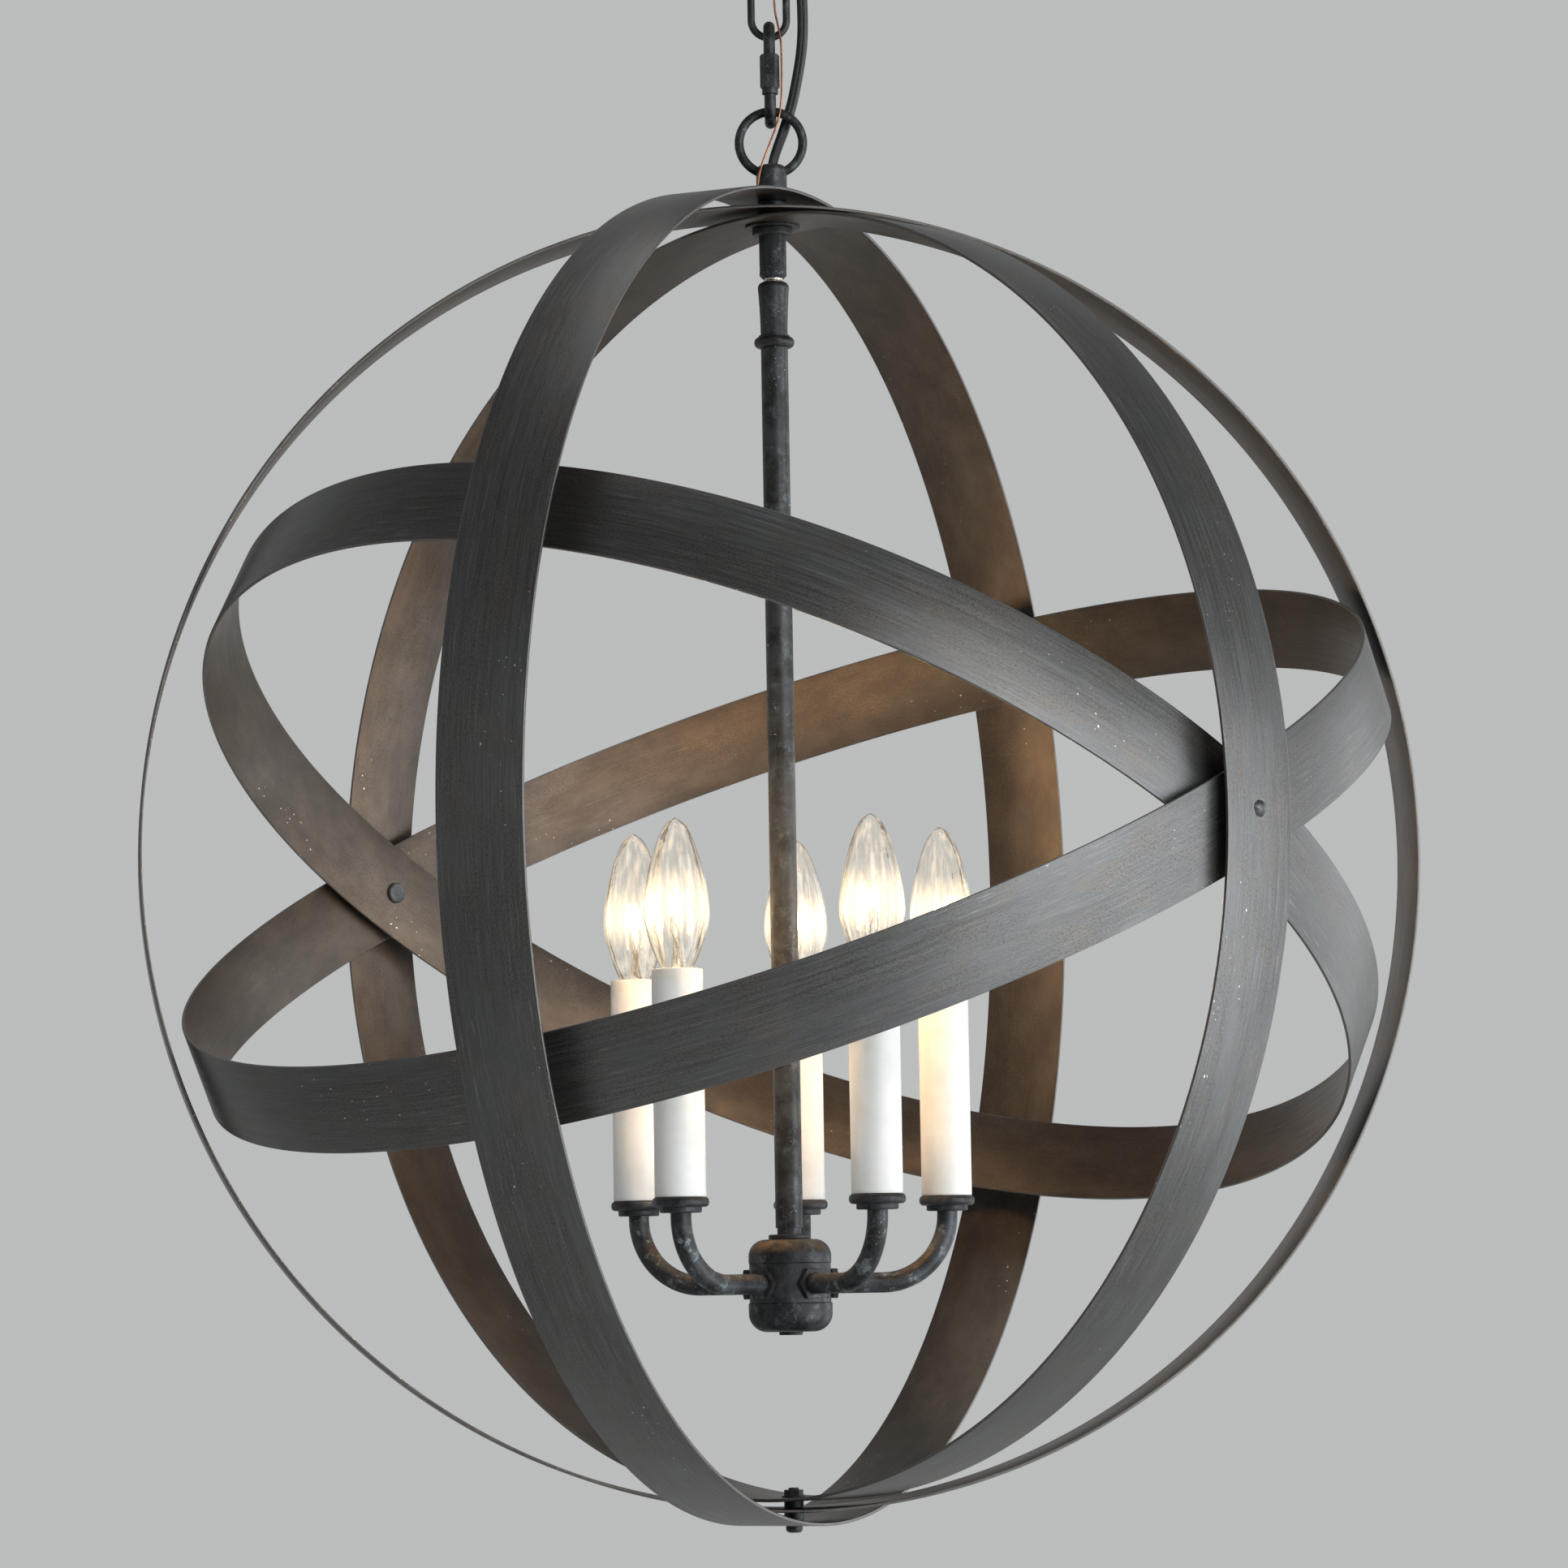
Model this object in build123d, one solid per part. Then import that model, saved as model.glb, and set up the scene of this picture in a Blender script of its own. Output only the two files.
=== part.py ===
from build123d import *
import os
from math import asin, cos, pi, radians, sin, sqrt, tan

# Orb chandelier: three nested upright hoops and two tilted hoops of strap steel
# round a five-light candle cluster, hung from a ceiling canopy by a short chain.
# Millimetres. Heights are first counted from the centre of the orb, and the
# finished pieces are moved down so that the ceiling plane is at z = 0.

# ---- Orb --------------------------------------------------------------------
ORB_D = 635.0  # outside of the outer hoop
STRAP_W = 42.0
STRAP_T = 1.6
POLE_GAP_OUT = 5.0  # outer to middle hoop at the poles
POLE_GAP_IN = 3.4  # middle to inner hoop at the poles
RIVET_GAP = 5.0  # between the hoops on the rivets
MIDDLE_DRAW_IN = 5.1  # how much narrower than tall the middle hoop is, on the radius
INNER_DRAW_IN = 4.1
TILT_OUT_SWELL = 1.1  # how much longer the tilted hoops are across the rivets
TILT_IN_SWELL = 3.2
OUTER_AZ = 66.0  # heading of each upright hoop
MIDDLE_AZ = 7.0
RIVET_AZ = -46.0  # heading of the inner hoop and of its rivets
TILT_OUT = -24.8  # lean of the tilted hoops about the rivet axis
TILT_IN = 30.0

# ---- Fits -------------------------------------------------------------------
RUN_GAP = 0.1  # flat faces that turn on each other
BORE_GAP = 0.08  # radial, pins that turn in a bore
CHAIN_GAP = 0.3  # between the links at rest

# ---- Pole hardware ----------------------------------------------------------
NIPPLE_D = 9.8
NIPPLE_BORE = 7.0
TOP_SPACER_D = 14.0
BOTTOM_SPACER_D = 9.3
POLE_SCREW_D = 5.0
POLE_HEAD_D = 8.0
POLE_HEAD_H = 3.3
POLE_NUT_AF = 8.0
POLE_NUT_H = 2.8
POLE_FLANGE_D = 11.5
POLE_FLANGE_T = 0.7
RIVET_D = 5.0
RIVET_HEAD_D = 8.0
RIVET_HEAD_H = 2.0
RIVET_UPSET_D = 10.4
RIVET_UPSET_H = 1.7
RIVET_SPACER_D = 9.3

# ---- Loop boss and chain ----------------------------------------------------
LOOP_RING_R = 15.35  # to the middle of the ring's wire
LOOP_WIRE = 4.4
LOOP_RISE = 27.3  # ring centre above the boss's seat
BOSS_D = 14.8
BOSS_TOP_RISE = 16.4
BOSS_FLANGE_D = 18.4
BOSS_FLANGE_H = 2.4
BOSS_BEAD_D = 16.0
BOSS_BEAD_H = 1.6
BOSS_SHOULDER = 3.0
BOSS_SOCKET = 8.4  # depth of the nipple in the boss
CORD_HOLE_D = 8.4
QUICK_WIRE = 5.6
QUICK_W = 17.4  # between the middles of the two legs
QUICK_L = 46.65  # between the middles of the two bows
QUICK_GAP_UP = 14.05  # lower edge of the leg's opening above the lower bow's wire
QUICK_GAP = 4.4
SLEEVE_NUT_AF = 8.2
SLEEVE_NUT_L = 16.5
SLEEVE_NUT_UP = 14.85  # lower end of the hexagon above the lower bow's wire
SLEEVE_NUT_COLLAR_D = 7.8
SLEEVE_NUT_COLLAR_L = 2.8
LINK_WIRE = 3.6
LINK_W = 17.0
LINK_L = 33.6

# ---- Canopy -----------------------------------------------------------------
CANOPY_D = 127.0
CANOPY_DEPTH = 22.0
CANOPY_WALL = 1.0
CANOPY_RIM_H = 3.0
CANOPY_LOOP_RISE = 27.0  # canopy's underside above the upper ring's centre
CANOPY_LOOP_BODY = 10.9  # start of the boss above the ring's centre
CANOPY_SHANK_D = 13.0
CANOPY_SHANK_TOP = 8.0  # length of the shank inside the canopy
CANOPY_COLLAR_D = 26.0
CANOPY_COLLAR_H = 6.3
CANOPY_NIPPLE_IN = 11.0
CROSSBAR_L = 106.0
CROSSBAR_W = 20.0
CROSSBAR_T = 2.0
BOX_SLOT_W = 4.8
BOX_SPACING_MIN = 69.85
BOX_SPACING_MAX = 88.9
LOCKNUT_AF = 15.0
LOCKNUT_H = 3.0
GROUND_SCREW_X = 20.0
GROUND_SCREW_D = 3.8
GROUND_HEAD_AF = 6.4
GROUND_HEAD_H = 2.6
GROUND_SCREW_L = 6.4

# ---- Stem -------------------------------------------------------------------
WASHER_D = 26.3
WASHER_T = 1.0
LOCKRING_D = 19.4
LOCKRING_T = 3.6
COUPLING_D = 13.05
COUPLING_L = 21.0
COUPLING_CHAMFER = 1.5
COUPLING_GROOVES = 3
GROOVE_W = 0.5
GROOVE_DEEP = 0.35
GROOVE_PITCH = 1.3
GROOVE_UP = 3.4  # lowest groove above the coupling's lower end
SWIVEL_D = 9.4
SWIVEL_IN = 8.0  # engagement at each end
SWIVEL_SHOW = 1.6
FERRULE_TOP_D = 10.4
FERRULE_MAX_D = 15.0
FERRULE_SHOULDER = 3.2
FERRULE_L = 26.1
BEAD_D = 19.3
BEAD_H = 5.1
BEAD_STEP_D = 15.0
BEAD_STEP_H = 0.8
SPIGOT_D = 10.2
SPIGOT_L = 9.0  # of the ferrule, below the bead collar
STEM_D = 13.0
STEM_WALL = 1.4
STEM_L = 425.3
STEM_NECK_WALL = 0.85  # round the nipple
STEM_NECK_H = 3.1
STEM_PLUG_H = 12.0  # threaded end in the stem for the cluster's nipple

# ---- Cluster ----------------------------------------------------------------
ARMS = 5
FIRST_ARM_AZ = 13.8
COLLAR_D = 19.9
COLLAR_H = 2.3
CAP_D = 39.3
CAP_H = 11.5
CAP_FLAT_D = 24.0
CAP_SKIRT = 3.0
SHELL_WALL = 1.3
HUB_D = 38.7
HUB_H = 18.4
HUB_WALL = 3.0
CUP_D = 39.8
CUP_H = 13.8
CUP_FLAT_D = 23.0
CUP_SKIRT = 4.3
FINIAL_D = 11.3
FINIAL_H = 1.5
FINIAL_SPIGOT_H = 6.0
ARM_D = 9.7
ARM_WALL = 1.0
ARM_DROP = 9.6  # arm's middle line below the hub's top
ARM_REACH = 77.8
ARM_BEND_R = 32.0
ARM_NUT_AF = 14.0
ARM_NUT_H = 3.0
PAN_UP = 33.6  # underside of the drip pan above the arm's middle line
PAN_D = 26.5
PAN_RIM_H = 4.7
PAN_STEP_D = 19.7
PAN_STEP_H = 2.6
PAN_ROUND = 2.0
SLEEVE_D = 24.0
SLEEVE_WALL = 1.0
SLEEVE_L = 106.0
SOCKET_D = 20.0
SOCKET_STEM_D = 13.0
SOCKET_CUP_L = 36.0
SOCKET_DEEP = 24.0
SOCKET_BELOW = 2.0  # socket's lip below the sleeve's
ARM_IN_SOCKET = 5.0
BULB_BASE_D = 11.7
BULB_BASE_L = 21.0
BULB_BASE_GAP = 0.4
BULB_GLASS_WALL = 0.8
BULB_NECK_D = 16.3
BULB_MAX_D = 31.0
BULB_MAX_UP = 29.0  # widest place above the sleeve's lip
BULB_L = 71.0  # tip above the sleeve's lip
BULB_LOW_SHARE = 0.87  # of the widest radius, half way up to it
BULB_HIGH_SHARE = 0.77  # of the widest radius, half way from it to the tip
BULB_TIP_D = 12.0
BULB_TIP_H = 5.4
BULB_STEM_D = 4.0
BULB_STEM_UP = 14.0
FILAMENT_D = 0.8
FILAMENT_W = 12.0
FILAMENT_UP = 30.0

# ---- Cord and ground wire ---------------------------------------------------
CORD_D = 5.2
WIRE_D = 1.0
# Routes, counted from the centre of the boss's ring, in three stretches that
# meet face to face: past the boss, past the quick link and up to the canopy.
CORD_ROUTES = {
    "supply_cord_lower": [
        (-0.3, 0.2, -17.4),
        (0.5, 1.1, -10.1),
        (2.6, 3.2, -2.9),
        (6.2, 5.6, 6.6),
        (9.3, 5.9, 16.1),
        (11.4, 5.08, 23.3),
        (13.0, 4.2, 31.1),
    ],
    "supply_cord_middle": [
        (13.0, 4.2, 31.1),
        (14.6, 3.32, 38.9),
        (16.0, 2.2, 49.1),
        (16.46, 1.12, 59.1),
        (16.3, 0.8, 67.1),
    ],
    "supply_cord_upper": [
        (16.3, 0.8, 67.1),
        (16.14, 0.48, 75.1),
        (14.4, 0.4, 84.1),
        (10.6, 0.6, 92.1),
        (5.2, 0.8, 99.3),
        (0.8, 0.7, 105.9),
        (-0.3, 0.7, 113.5),
    ],
}
WIRE_ROUTES = {
    "ground_wire_lower": [
        (-6.9, -5.2, -24.9),
        (-6.4, -6.4, -18.4),
        (-4.6, -7.1, -11.9),
        (-2.2, -6.6, -5.7),
        (0.4, -5.9, 1.1),
        (3.3, -6.3, 8.1),
        (5.1, -7.5, 16.1),
        (5.7, -8.5, 24.1),
        (5.8, -8.4, 32.1),
    ],
    "ground_wire_middle": [
        (5.8, -8.4, 32.1),
        (5.9, -8.3, 40.1),
        (5.7, -7.6, 48.3),
        (4.4, -6.0, 56.6),
        (3.0, -4.4, 62.9),
        (2.8, -4.0, 68.1),
    ],
    "ground_wire_upper": [
        (2.8, -4.0, 68.1),
        (2.6, -3.6, 73.3),
        (3.2, -3.7, 81.5),
        (3.6, -3.5, 88.5),
        (3.0, -3.2, 95.5),
        (1.7, -2.9, 101.8),
        (0.9, -2.8, 107.8),
        (0.8, -2.7, 114.1),
    ],
}

# ---- Sizes and heights that follow ------------------------------------------
OUTER_R = ORB_D / 2 - STRAP_T / 2
MIDDLE_V = OUTER_R - STRAP_T - POLE_GAP_OUT
MIDDLE_H = MIDDLE_V - MIDDLE_DRAW_IN
INNER_V = MIDDLE_V - STRAP_T - POLE_GAP_IN
INNER_H = INNER_V - INNER_DRAW_IN
TILT_OUT_R = INNER_H - STRAP_T - RIVET_GAP
TILT_IN_R = TILT_OUT_R - STRAP_T - RIVET_GAP
HALF_T = STRAP_T / 2

BOSS_Z = ORB_D / 2 + RUN_GAP
LOOP_Z = BOSS_Z + LOOP_RISE
QUICK_BOTTOM_Z = LOOP_Z + LOOP_RING_R - LOOP_WIRE / 2 - CHAIN_GAP - QUICK_WIRE / 2
QUICK_TOP_Z = QUICK_BOTTOM_Z + QUICK_L
LINK_BOTTOM_Z = QUICK_TOP_Z - QUICK_WIRE / 2 - CHAIN_GAP - LINK_WIRE / 2
LINK_TOP_Z = LINK_BOTTOM_Z + LINK_L
CANOPY_LOOP_Z = LINK_TOP_Z - LINK_WIRE / 2 - CHAIN_GAP - LOOP_WIRE / 2 + LOOP_RING_R
CANOPY_UNDER_Z = CANOPY_LOOP_Z + CANOPY_LOOP_RISE
CEILING_Z = CANOPY_UNDER_Z + CANOPY_DEPTH


def pole_sag(radius):
    """Drop of a curved strap under a flat round face of that radius."""
    return radius**2 / (2 * TILT_IN_R)


WASHER_Z = INNER_V - HALF_T - pole_sag(WASHER_D / 2)
LOCKRING_Z = WASHER_Z - WASHER_T
COUPLING_Z = LOCKRING_Z - LOCKRING_T
SWIVEL_Z = COUPLING_Z - COUPLING_L
FERRULE_Z = SWIVEL_Z - SWIVEL_SHOW
BEAD_STEP_Z = FERRULE_Z - FERRULE_L
BEAD_Z = BEAD_STEP_Z - BEAD_STEP_H
STEM_Z = BEAD_Z - BEAD_H
STEM_END_Z = STEM_Z - STEM_L
CAP_Z = STEM_END_Z - COLLAR_H
HUB_Z = CAP_Z - CAP_H
CUP_Z = HUB_Z - HUB_H
FINIAL_Z = CUP_Z - CUP_H
ARM_Z = HUB_Z - ARM_DROP
PAN_Z = ARM_Z + PAN_UP
PAN_TOP_Z = PAN_Z + PAN_STEP_H + PAN_RIM_H
LIP_Z = PAN_TOP_Z + SLEEVE_L
ARM_TOP_Z = PAN_TOP_Z + ARM_IN_SOCKET

nodes = {}


def turned(*points):
    """Solid of revolution about Z of a closed outline of (radius, height) points."""
    return revolve(make_face(Plane.XZ * Polyline(*points, close=True)), Axis.Z)


def turned_curve(*curves):
    """Solid of revolution about Z of a closed outline of lines and curves."""
    return revolve(make_face(Plane.XZ * Curve(Wire(list(curves)).wrapped)), Axis.Z)


def rod(diameter, low, high):
    """Upright cylinder between two heights."""
    return Pos(0, 0, low) * Cylinder(
        diameter / 2, high - low, align=(Align.CENTER, Align.CENTER, Align.MIN)
    )


def pipe(outside, inside, low, high):
    """Upright tube between two heights."""
    return rod(outside, low, high) - rod(inside, low, high)


def hex_nut(across_flats, bore, low, high):
    """Hexagon nut on Z with flats towards the front and back."""
    blank = Pos(0, 0, low) * extrude(
        RegularPolygon(across_flats / 2, 6, major_radius=False), high - low
    )
    return blank - rod(bore, low, high)


def ring_solid(radius, wire, upright_normal):
    """Round ring of wire about the origin, whose hole runs along that axis."""
    return Plane(origin=(0, 0, 0), z_dir=upright_normal) * Torus(radius, wire / 2)


def swept_wire(path, wire, inside=0):
    """Round wire, or tube, along a path."""
    plane = Plane(origin=path @ 0, z_dir=path % 0)
    section = Circle(wire / 2)
    if inside:
        section -= Circle(inside / 2)
    return sweep(plane * section, path=path)


# ---- Hoops ------------------------------------------------------------------


def strap_hoop(plane, semi_x, semi_y):
    """Strap bent to an oval in a plane, its width along the plane's normal."""
    outside = Ellipse(semi_x + HALF_T, semi_y + HALF_T)
    inside = Ellipse(semi_x - HALF_T, semi_y - HALF_T)
    return plane * extrude(outside - inside, STRAP_W / 2, both=True)


def upright_plane(azimuth):
    """Vertical plane through the axis, its x along that heading and y up."""
    a = radians(azimuth)
    return Plane(origin=(0, 0, 0), x_dir=(cos(a), sin(a), 0), z_dir=(sin(a), -cos(a), 0))


def tilted_plane(tilt):
    """Plane through the rivets, leaning that far from level."""
    a = radians(RIVET_AZ)
    t = radians(tilt)
    normal = (-sin(a) * sin(t), cos(a) * sin(t), cos(t))
    return Plane(origin=(0, 0, 0), x_dir=(cos(a), sin(a), 0), z_dir=normal)


def pole_holes(top_d, bottom_d):
    """Drill for the holes at the top and bottom poles."""
    return rod(top_d, 0, ORB_D) + rod(bottom_d, -ORB_D, 0)


def rivet_drill(diameter):
    """Drill along the rivet axis, right through."""
    a = radians(RIVET_AZ)
    axis = Plane(origin=(0, 0, 0), z_dir=(cos(a), sin(a), 0))
    return axis * Cylinder(diameter / 2, ORB_D)


def make_hoops():
    turning = pole_holes(NIPPLE_D + 2 * BORE_GAP, POLE_SCREW_D + 2 * BORE_GAP)
    fixed = pole_holes(NIPPLE_D, POLE_SCREW_D) + rivet_drill(RIVET_D)
    swinging = rivet_drill(RIVET_D + 2 * BORE_GAP)
    nodes["hoop_outer"] = strap_hoop(upright_plane(OUTER_AZ), OUTER_R, OUTER_R) - turning
    nodes["hoop_middle"] = strap_hoop(upright_plane(MIDDLE_AZ), MIDDLE_H, MIDDLE_V) - turning
    nodes["hoop_inner"] = strap_hoop(upright_plane(RIVET_AZ), INNER_H, INNER_V) - fixed
    nodes["tilt_hoop_outer"] = (
        strap_hoop(tilted_plane(TILT_OUT), TILT_OUT_R, TILT_OUT_R + TILT_OUT_SWELL)
        - swinging
    )
    nodes["tilt_hoop_inner"] = (
        strap_hoop(tilted_plane(TILT_IN), TILT_IN_R, TILT_IN_R + TILT_IN_SWELL) - swinging
    )


def at_rivet(shape, side):
    """Place a piece made about Z so that Z runs out along a rivet."""
    a = radians(RIVET_AZ)
    return Plane(origin=(0, 0, 0), z_dir=(side * cos(a), side * sin(a), 0)) * shape


def make_rivets():
    """Rivets with a domed head outside and an upset head inside, and their spacers."""
    head = INNER_H + HALF_T
    upset = TILT_IN_R - HALF_T - RUN_GAP - pole_sag(RIVET_UPSET_D / 2)
    outer_low = TILT_OUT_R + HALF_T + RUN_GAP
    outer_high = INNER_H - HALF_T - pole_sag(RIVET_SPACER_D / 2)
    inner_low = TILT_IN_R + HALF_T + RUN_GAP
    inner_high = TILT_OUT_R - HALF_T - RUN_GAP - pole_sag(RIVET_SPACER_D / 2)
    r_head = RIVET_HEAD_D / 2
    ball = (r_head**2 + RIVET_HEAD_H**2) / (2 * RIVET_HEAD_H)
    half_arc = asin(r_head / ball) / 2
    r_upset = RIVET_UPSET_D / 2
    r_pin = RIVET_D / 2
    low = upset - RIVET_UPSET_H
    crown = head + RIVET_HEAD_H
    bevel = RIVET_UPSET_H * 0.4
    rivet = turned_curve(
        ThreePointArc(
            (r_head, head),
            (ball * sin(half_arc), crown - ball * (1 - cos(half_arc))),
            (0, crown),
        ),
        Line((0, crown), (0, low)),
        Line((0, low), (r_upset - bevel, low)),
        Line((r_upset - bevel, low), (r_upset, low + bevel)),
        Line((r_upset, low + bevel), (r_upset, upset)),
        Line((r_upset, upset), (r_pin, upset)),
        Line((r_pin, upset), (r_pin, head)),
        Line((r_pin, head), (r_head, head)),
    )
    sides = (1, -1)
    nodes["rivets"] = Compound([at_rivet(rivet, s).solid() for s in sides])
    collars = [
        pipe(RIVET_SPACER_D, RIVET_D, outer_low, outer_high),
        pipe(RIVET_SPACER_D, RIVET_D, inner_low, inner_high),
    ]
    nodes["rivet_spacers"] = Compound(
        [at_rivet(c, s).solid() for s in sides for c in collars]
    )


def make_bottom_pole():
    """Round-head screw from below, spacers between the straps, flanged nut on top."""
    head = -ORB_D / 2 - RUN_GAP
    seat = -(INNER_V - HALF_T) + pole_sag(POLE_FLANGE_D / 2)
    top = seat + POLE_FLANGE_T + POLE_NUT_H
    screw = rod(POLE_HEAD_D, head - POLE_HEAD_H, head)
    screw = fillet(screw.edges().group_by(Axis.Z)[0], POLE_HEAD_H * 0.6)
    nodes["bottom_screw"] = screw + rod(POLE_SCREW_D, head, top + 1)
    gap_1 = (-(OUTER_R - HALF_T), -(MIDDLE_V + HALF_T))
    gap_2 = (-(MIDDLE_V - HALF_T), -(INNER_V + HALF_T))
    room = RUN_GAP + pole_sag(BOTTOM_SPACER_D / 2)
    nodes["bottom_spacers"] = Compound(
        [
            pipe(BOTTOM_SPACER_D, POLE_SCREW_D, low + room, high - RUN_GAP).solid()
            for low, high in (gap_1, gap_2)
        ]
    )
    nut = pipe(POLE_FLANGE_D, POLE_SCREW_D, seat, seat + POLE_FLANGE_T)
    nodes["bottom_nut"] = nut + hex_nut(
        POLE_NUT_AF, POLE_SCREW_D, seat + POLE_FLANGE_T, top
    )


def make_top_pole():
    """Hollow threaded nipple through the straps, with spacers between them."""
    gap_1 = (MIDDLE_V + HALF_T, OUTER_R - HALF_T)
    gap_2 = (INNER_V + HALF_T, MIDDLE_V - HALF_T)
    room = RUN_GAP + pole_sag(TOP_SPACER_D / 2)
    nodes["top_spacers"] = Compound(
        [
            pipe(TOP_SPACER_D, NIPPLE_D, low + RUN_GAP, high - room).solid()
            for low, high in (gap_1, gap_2)
        ]
    )
    nodes["top_nipple"] = pipe(
        NIPPLE_D, NIPPLE_BORE, COUPLING_Z - SWIVEL_IN, BOSS_Z + BOSS_SOCKET
    )


# ---- Hanging loop and chain -------------------------------------------------


def make_loop_boss():
    """Cast ring on a turned boss, with a way through for the cord."""
    z = BOSS_Z
    flange = z + BOSS_FLANGE_H
    bead = flange + BOSS_BEAD_H
    top = z + BOSS_TOP_RISE
    body = rod(BOSS_D, z, top)
    body = fillet(body.edges().group_by(Axis.Z)[-1], BOSS_SHOULDER)
    body += turned(
        (0, z),
        (BOSS_FLANGE_D / 2, z),
        (BOSS_FLANGE_D / 2, flange - 0.8),
        (BOSS_FLANGE_D / 2 - 0.8, flange),
        (0, flange),
    )
    bead_ring = rod(BOSS_BEAD_D, flange, bead)
    body += fillet(bead_ring.edges().group_by(Axis.Z)[-1], BOSS_BEAD_H * 0.45)
    body += Pos(0, 0, LOOP_Z) * ring_solid(LOOP_RING_R, LOOP_WIRE, (0, 1, 0))
    body -= rod(NIPPLE_D, z, z + BOSS_SOCKET)
    body -= rod(CORD_HOLE_D, z + BOSS_SOCKET, top + 2)
    nodes["loop_boss"] = body


def oval_points(width, bottom, top):
    """Ends and middles of an oval link's legs and bows, as (across, height)."""
    half = width / 2
    return {
        "low_arc": [(half, bottom + half), (0, bottom), (-half, bottom + half)],
        "high_arc": [(-half, top - half), (0, top), (half, top - half)],
    }


def make_chain_link():
    """Oval link of round wire in the plane of the boss's ring."""
    oval = oval_points(LINK_W, LINK_BOTTOM_Z, LINK_TOP_Z)
    low = [Vector(x, 0, z) for x, z in oval["low_arc"]]
    high = [Vector(x, 0, z) for x, z in oval["high_arc"]]
    path = Wire(
        [
            ThreePointArc(*low).edge(),
            Line(low[-1], high[0]).edge(),
            ThreePointArc(*high).edge(),
            Line(high[-1], low[0]).edge(),
        ]
    )
    nodes["chain_link"] = swept_wire(path, LINK_WIRE)


def make_quick_link():
    """Oval of bent wire with an opening in its front leg, which a hexagon sleeve bridges."""
    oval = oval_points(QUICK_W, QUICK_BOTTOM_Z, QUICK_TOP_Z)
    low = [Vector(0, y, z) for y, z in oval["low_arc"]]
    high = [Vector(0, y, z) for y, z in oval["high_arc"]]
    front = -QUICK_W / 2
    gap_low = QUICK_BOTTOM_Z + QUICK_GAP_UP
    gap_high = gap_low + QUICK_GAP
    path = Wire(
        [
            Line((0, front, gap_high), high[0]).edge(),
            ThreePointArc(*high).edge(),
            Line(high[-1], low[0]).edge(),
            ThreePointArc(*low).edge(),
            Line(low[-1], (0, front, gap_low)).edge(),
        ]
    )
    nodes["quick_link"] = swept_wire(path, QUICK_WIRE)
    bore = QUICK_WIRE + 2 * BORE_GAP
    base = QUICK_BOTTOM_Z + SLEEVE_NUT_UP
    top = base + SLEEVE_NUT_L
    nut = hex_nut(SLEEVE_NUT_AF, bore, base, top)
    corner = SLEEVE_NUT_AF / sqrt(3)
    nut &= turned(
        (0, base),
        (corner - 0.5, base),
        (corner, base + 0.8),
        (corner, top - 0.8),
        (corner - 0.5, top),
        (0, top),
    )
    low_end = base - SLEEVE_NUT_COLLAR_L
    collar = pipe(SLEEVE_NUT_COLLAR_D, bore, low_end, base)
    collar -= pipe(SLEEVE_NUT_COLLAR_D, SLEEVE_NUT_COLLAR_D - 0.7, base - 0.9, base - 0.4)
    nodes["quick_link_sleeve"] = Pos(0, front, 0) * (nut + collar)


def corner_radii(points):
    """Largest tangent arc that each corner of a route has room for."""
    radii = []
    for before, corner, after in zip(points, points[1:], points[2:]):
        run_in = Vector(*corner) - Vector(*before)
        run_out = Vector(*after) - Vector(*corner)
        half_turn = radians(run_in.get_angle(run_out)) / 2
        radii.append(0.45 * min(run_in.length, run_out.length) / tan(half_turn))
    return radii


def routed_cord(name, route, diameter):
    """Round cord of straight runs and tangent arcs along a route."""
    points = [(x, y, z + LOOP_Z) for x, y, z in route]
    radii = corner_radii(points)
    path = FilletPolyline(*points, radius=radii)
    cord = swept_wire(path, diameter)
    expected = pi * diameter**2 / 4 * path.length
    print(
        f"{name}: length {path.length:.1f}, radii {[round(r, 1) for r in radii]},"
        f" volume {cord.volume:.1f} of {expected:.1f}"
    )
    nodes[name] = cord


# ---- Canopy -----------------------------------------------------------------


def make_canopy():
    """Shallow domed ceiling cover with its centre hole."""
    r = CANOPY_D / 2
    w = CANOPY_WALL
    low = CANOPY_UNDER_Z
    top = CEILING_Z
    hole = CANOPY_SHANK_D / 2
    flat = CANOPY_COLLAR_D / 2 + 3
    middle = ((flat + r) / 2 + 4, low + CANOPY_DEPTH * 0.36)
    inner_middle = (middle[0] - 0.4, middle[1] + w)
    rim = top - CANOPY_RIM_H
    nodes["canopy"] = turned_curve(
        Line((hole, low), (flat, low)),
        ThreePointArc((flat, low), middle, (r, rim)),
        Line((r, rim), (r, top)),
        Line((r, top), (r - w, top)),
        Line((r - w, top), (r - w, rim)),
        ThreePointArc((r - w, rim), inner_middle, (flat, low + w)),
        Line((flat, low + w), (hole, low + w)),
        Line((hole, low + w), (hole, low)),
    )


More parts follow.
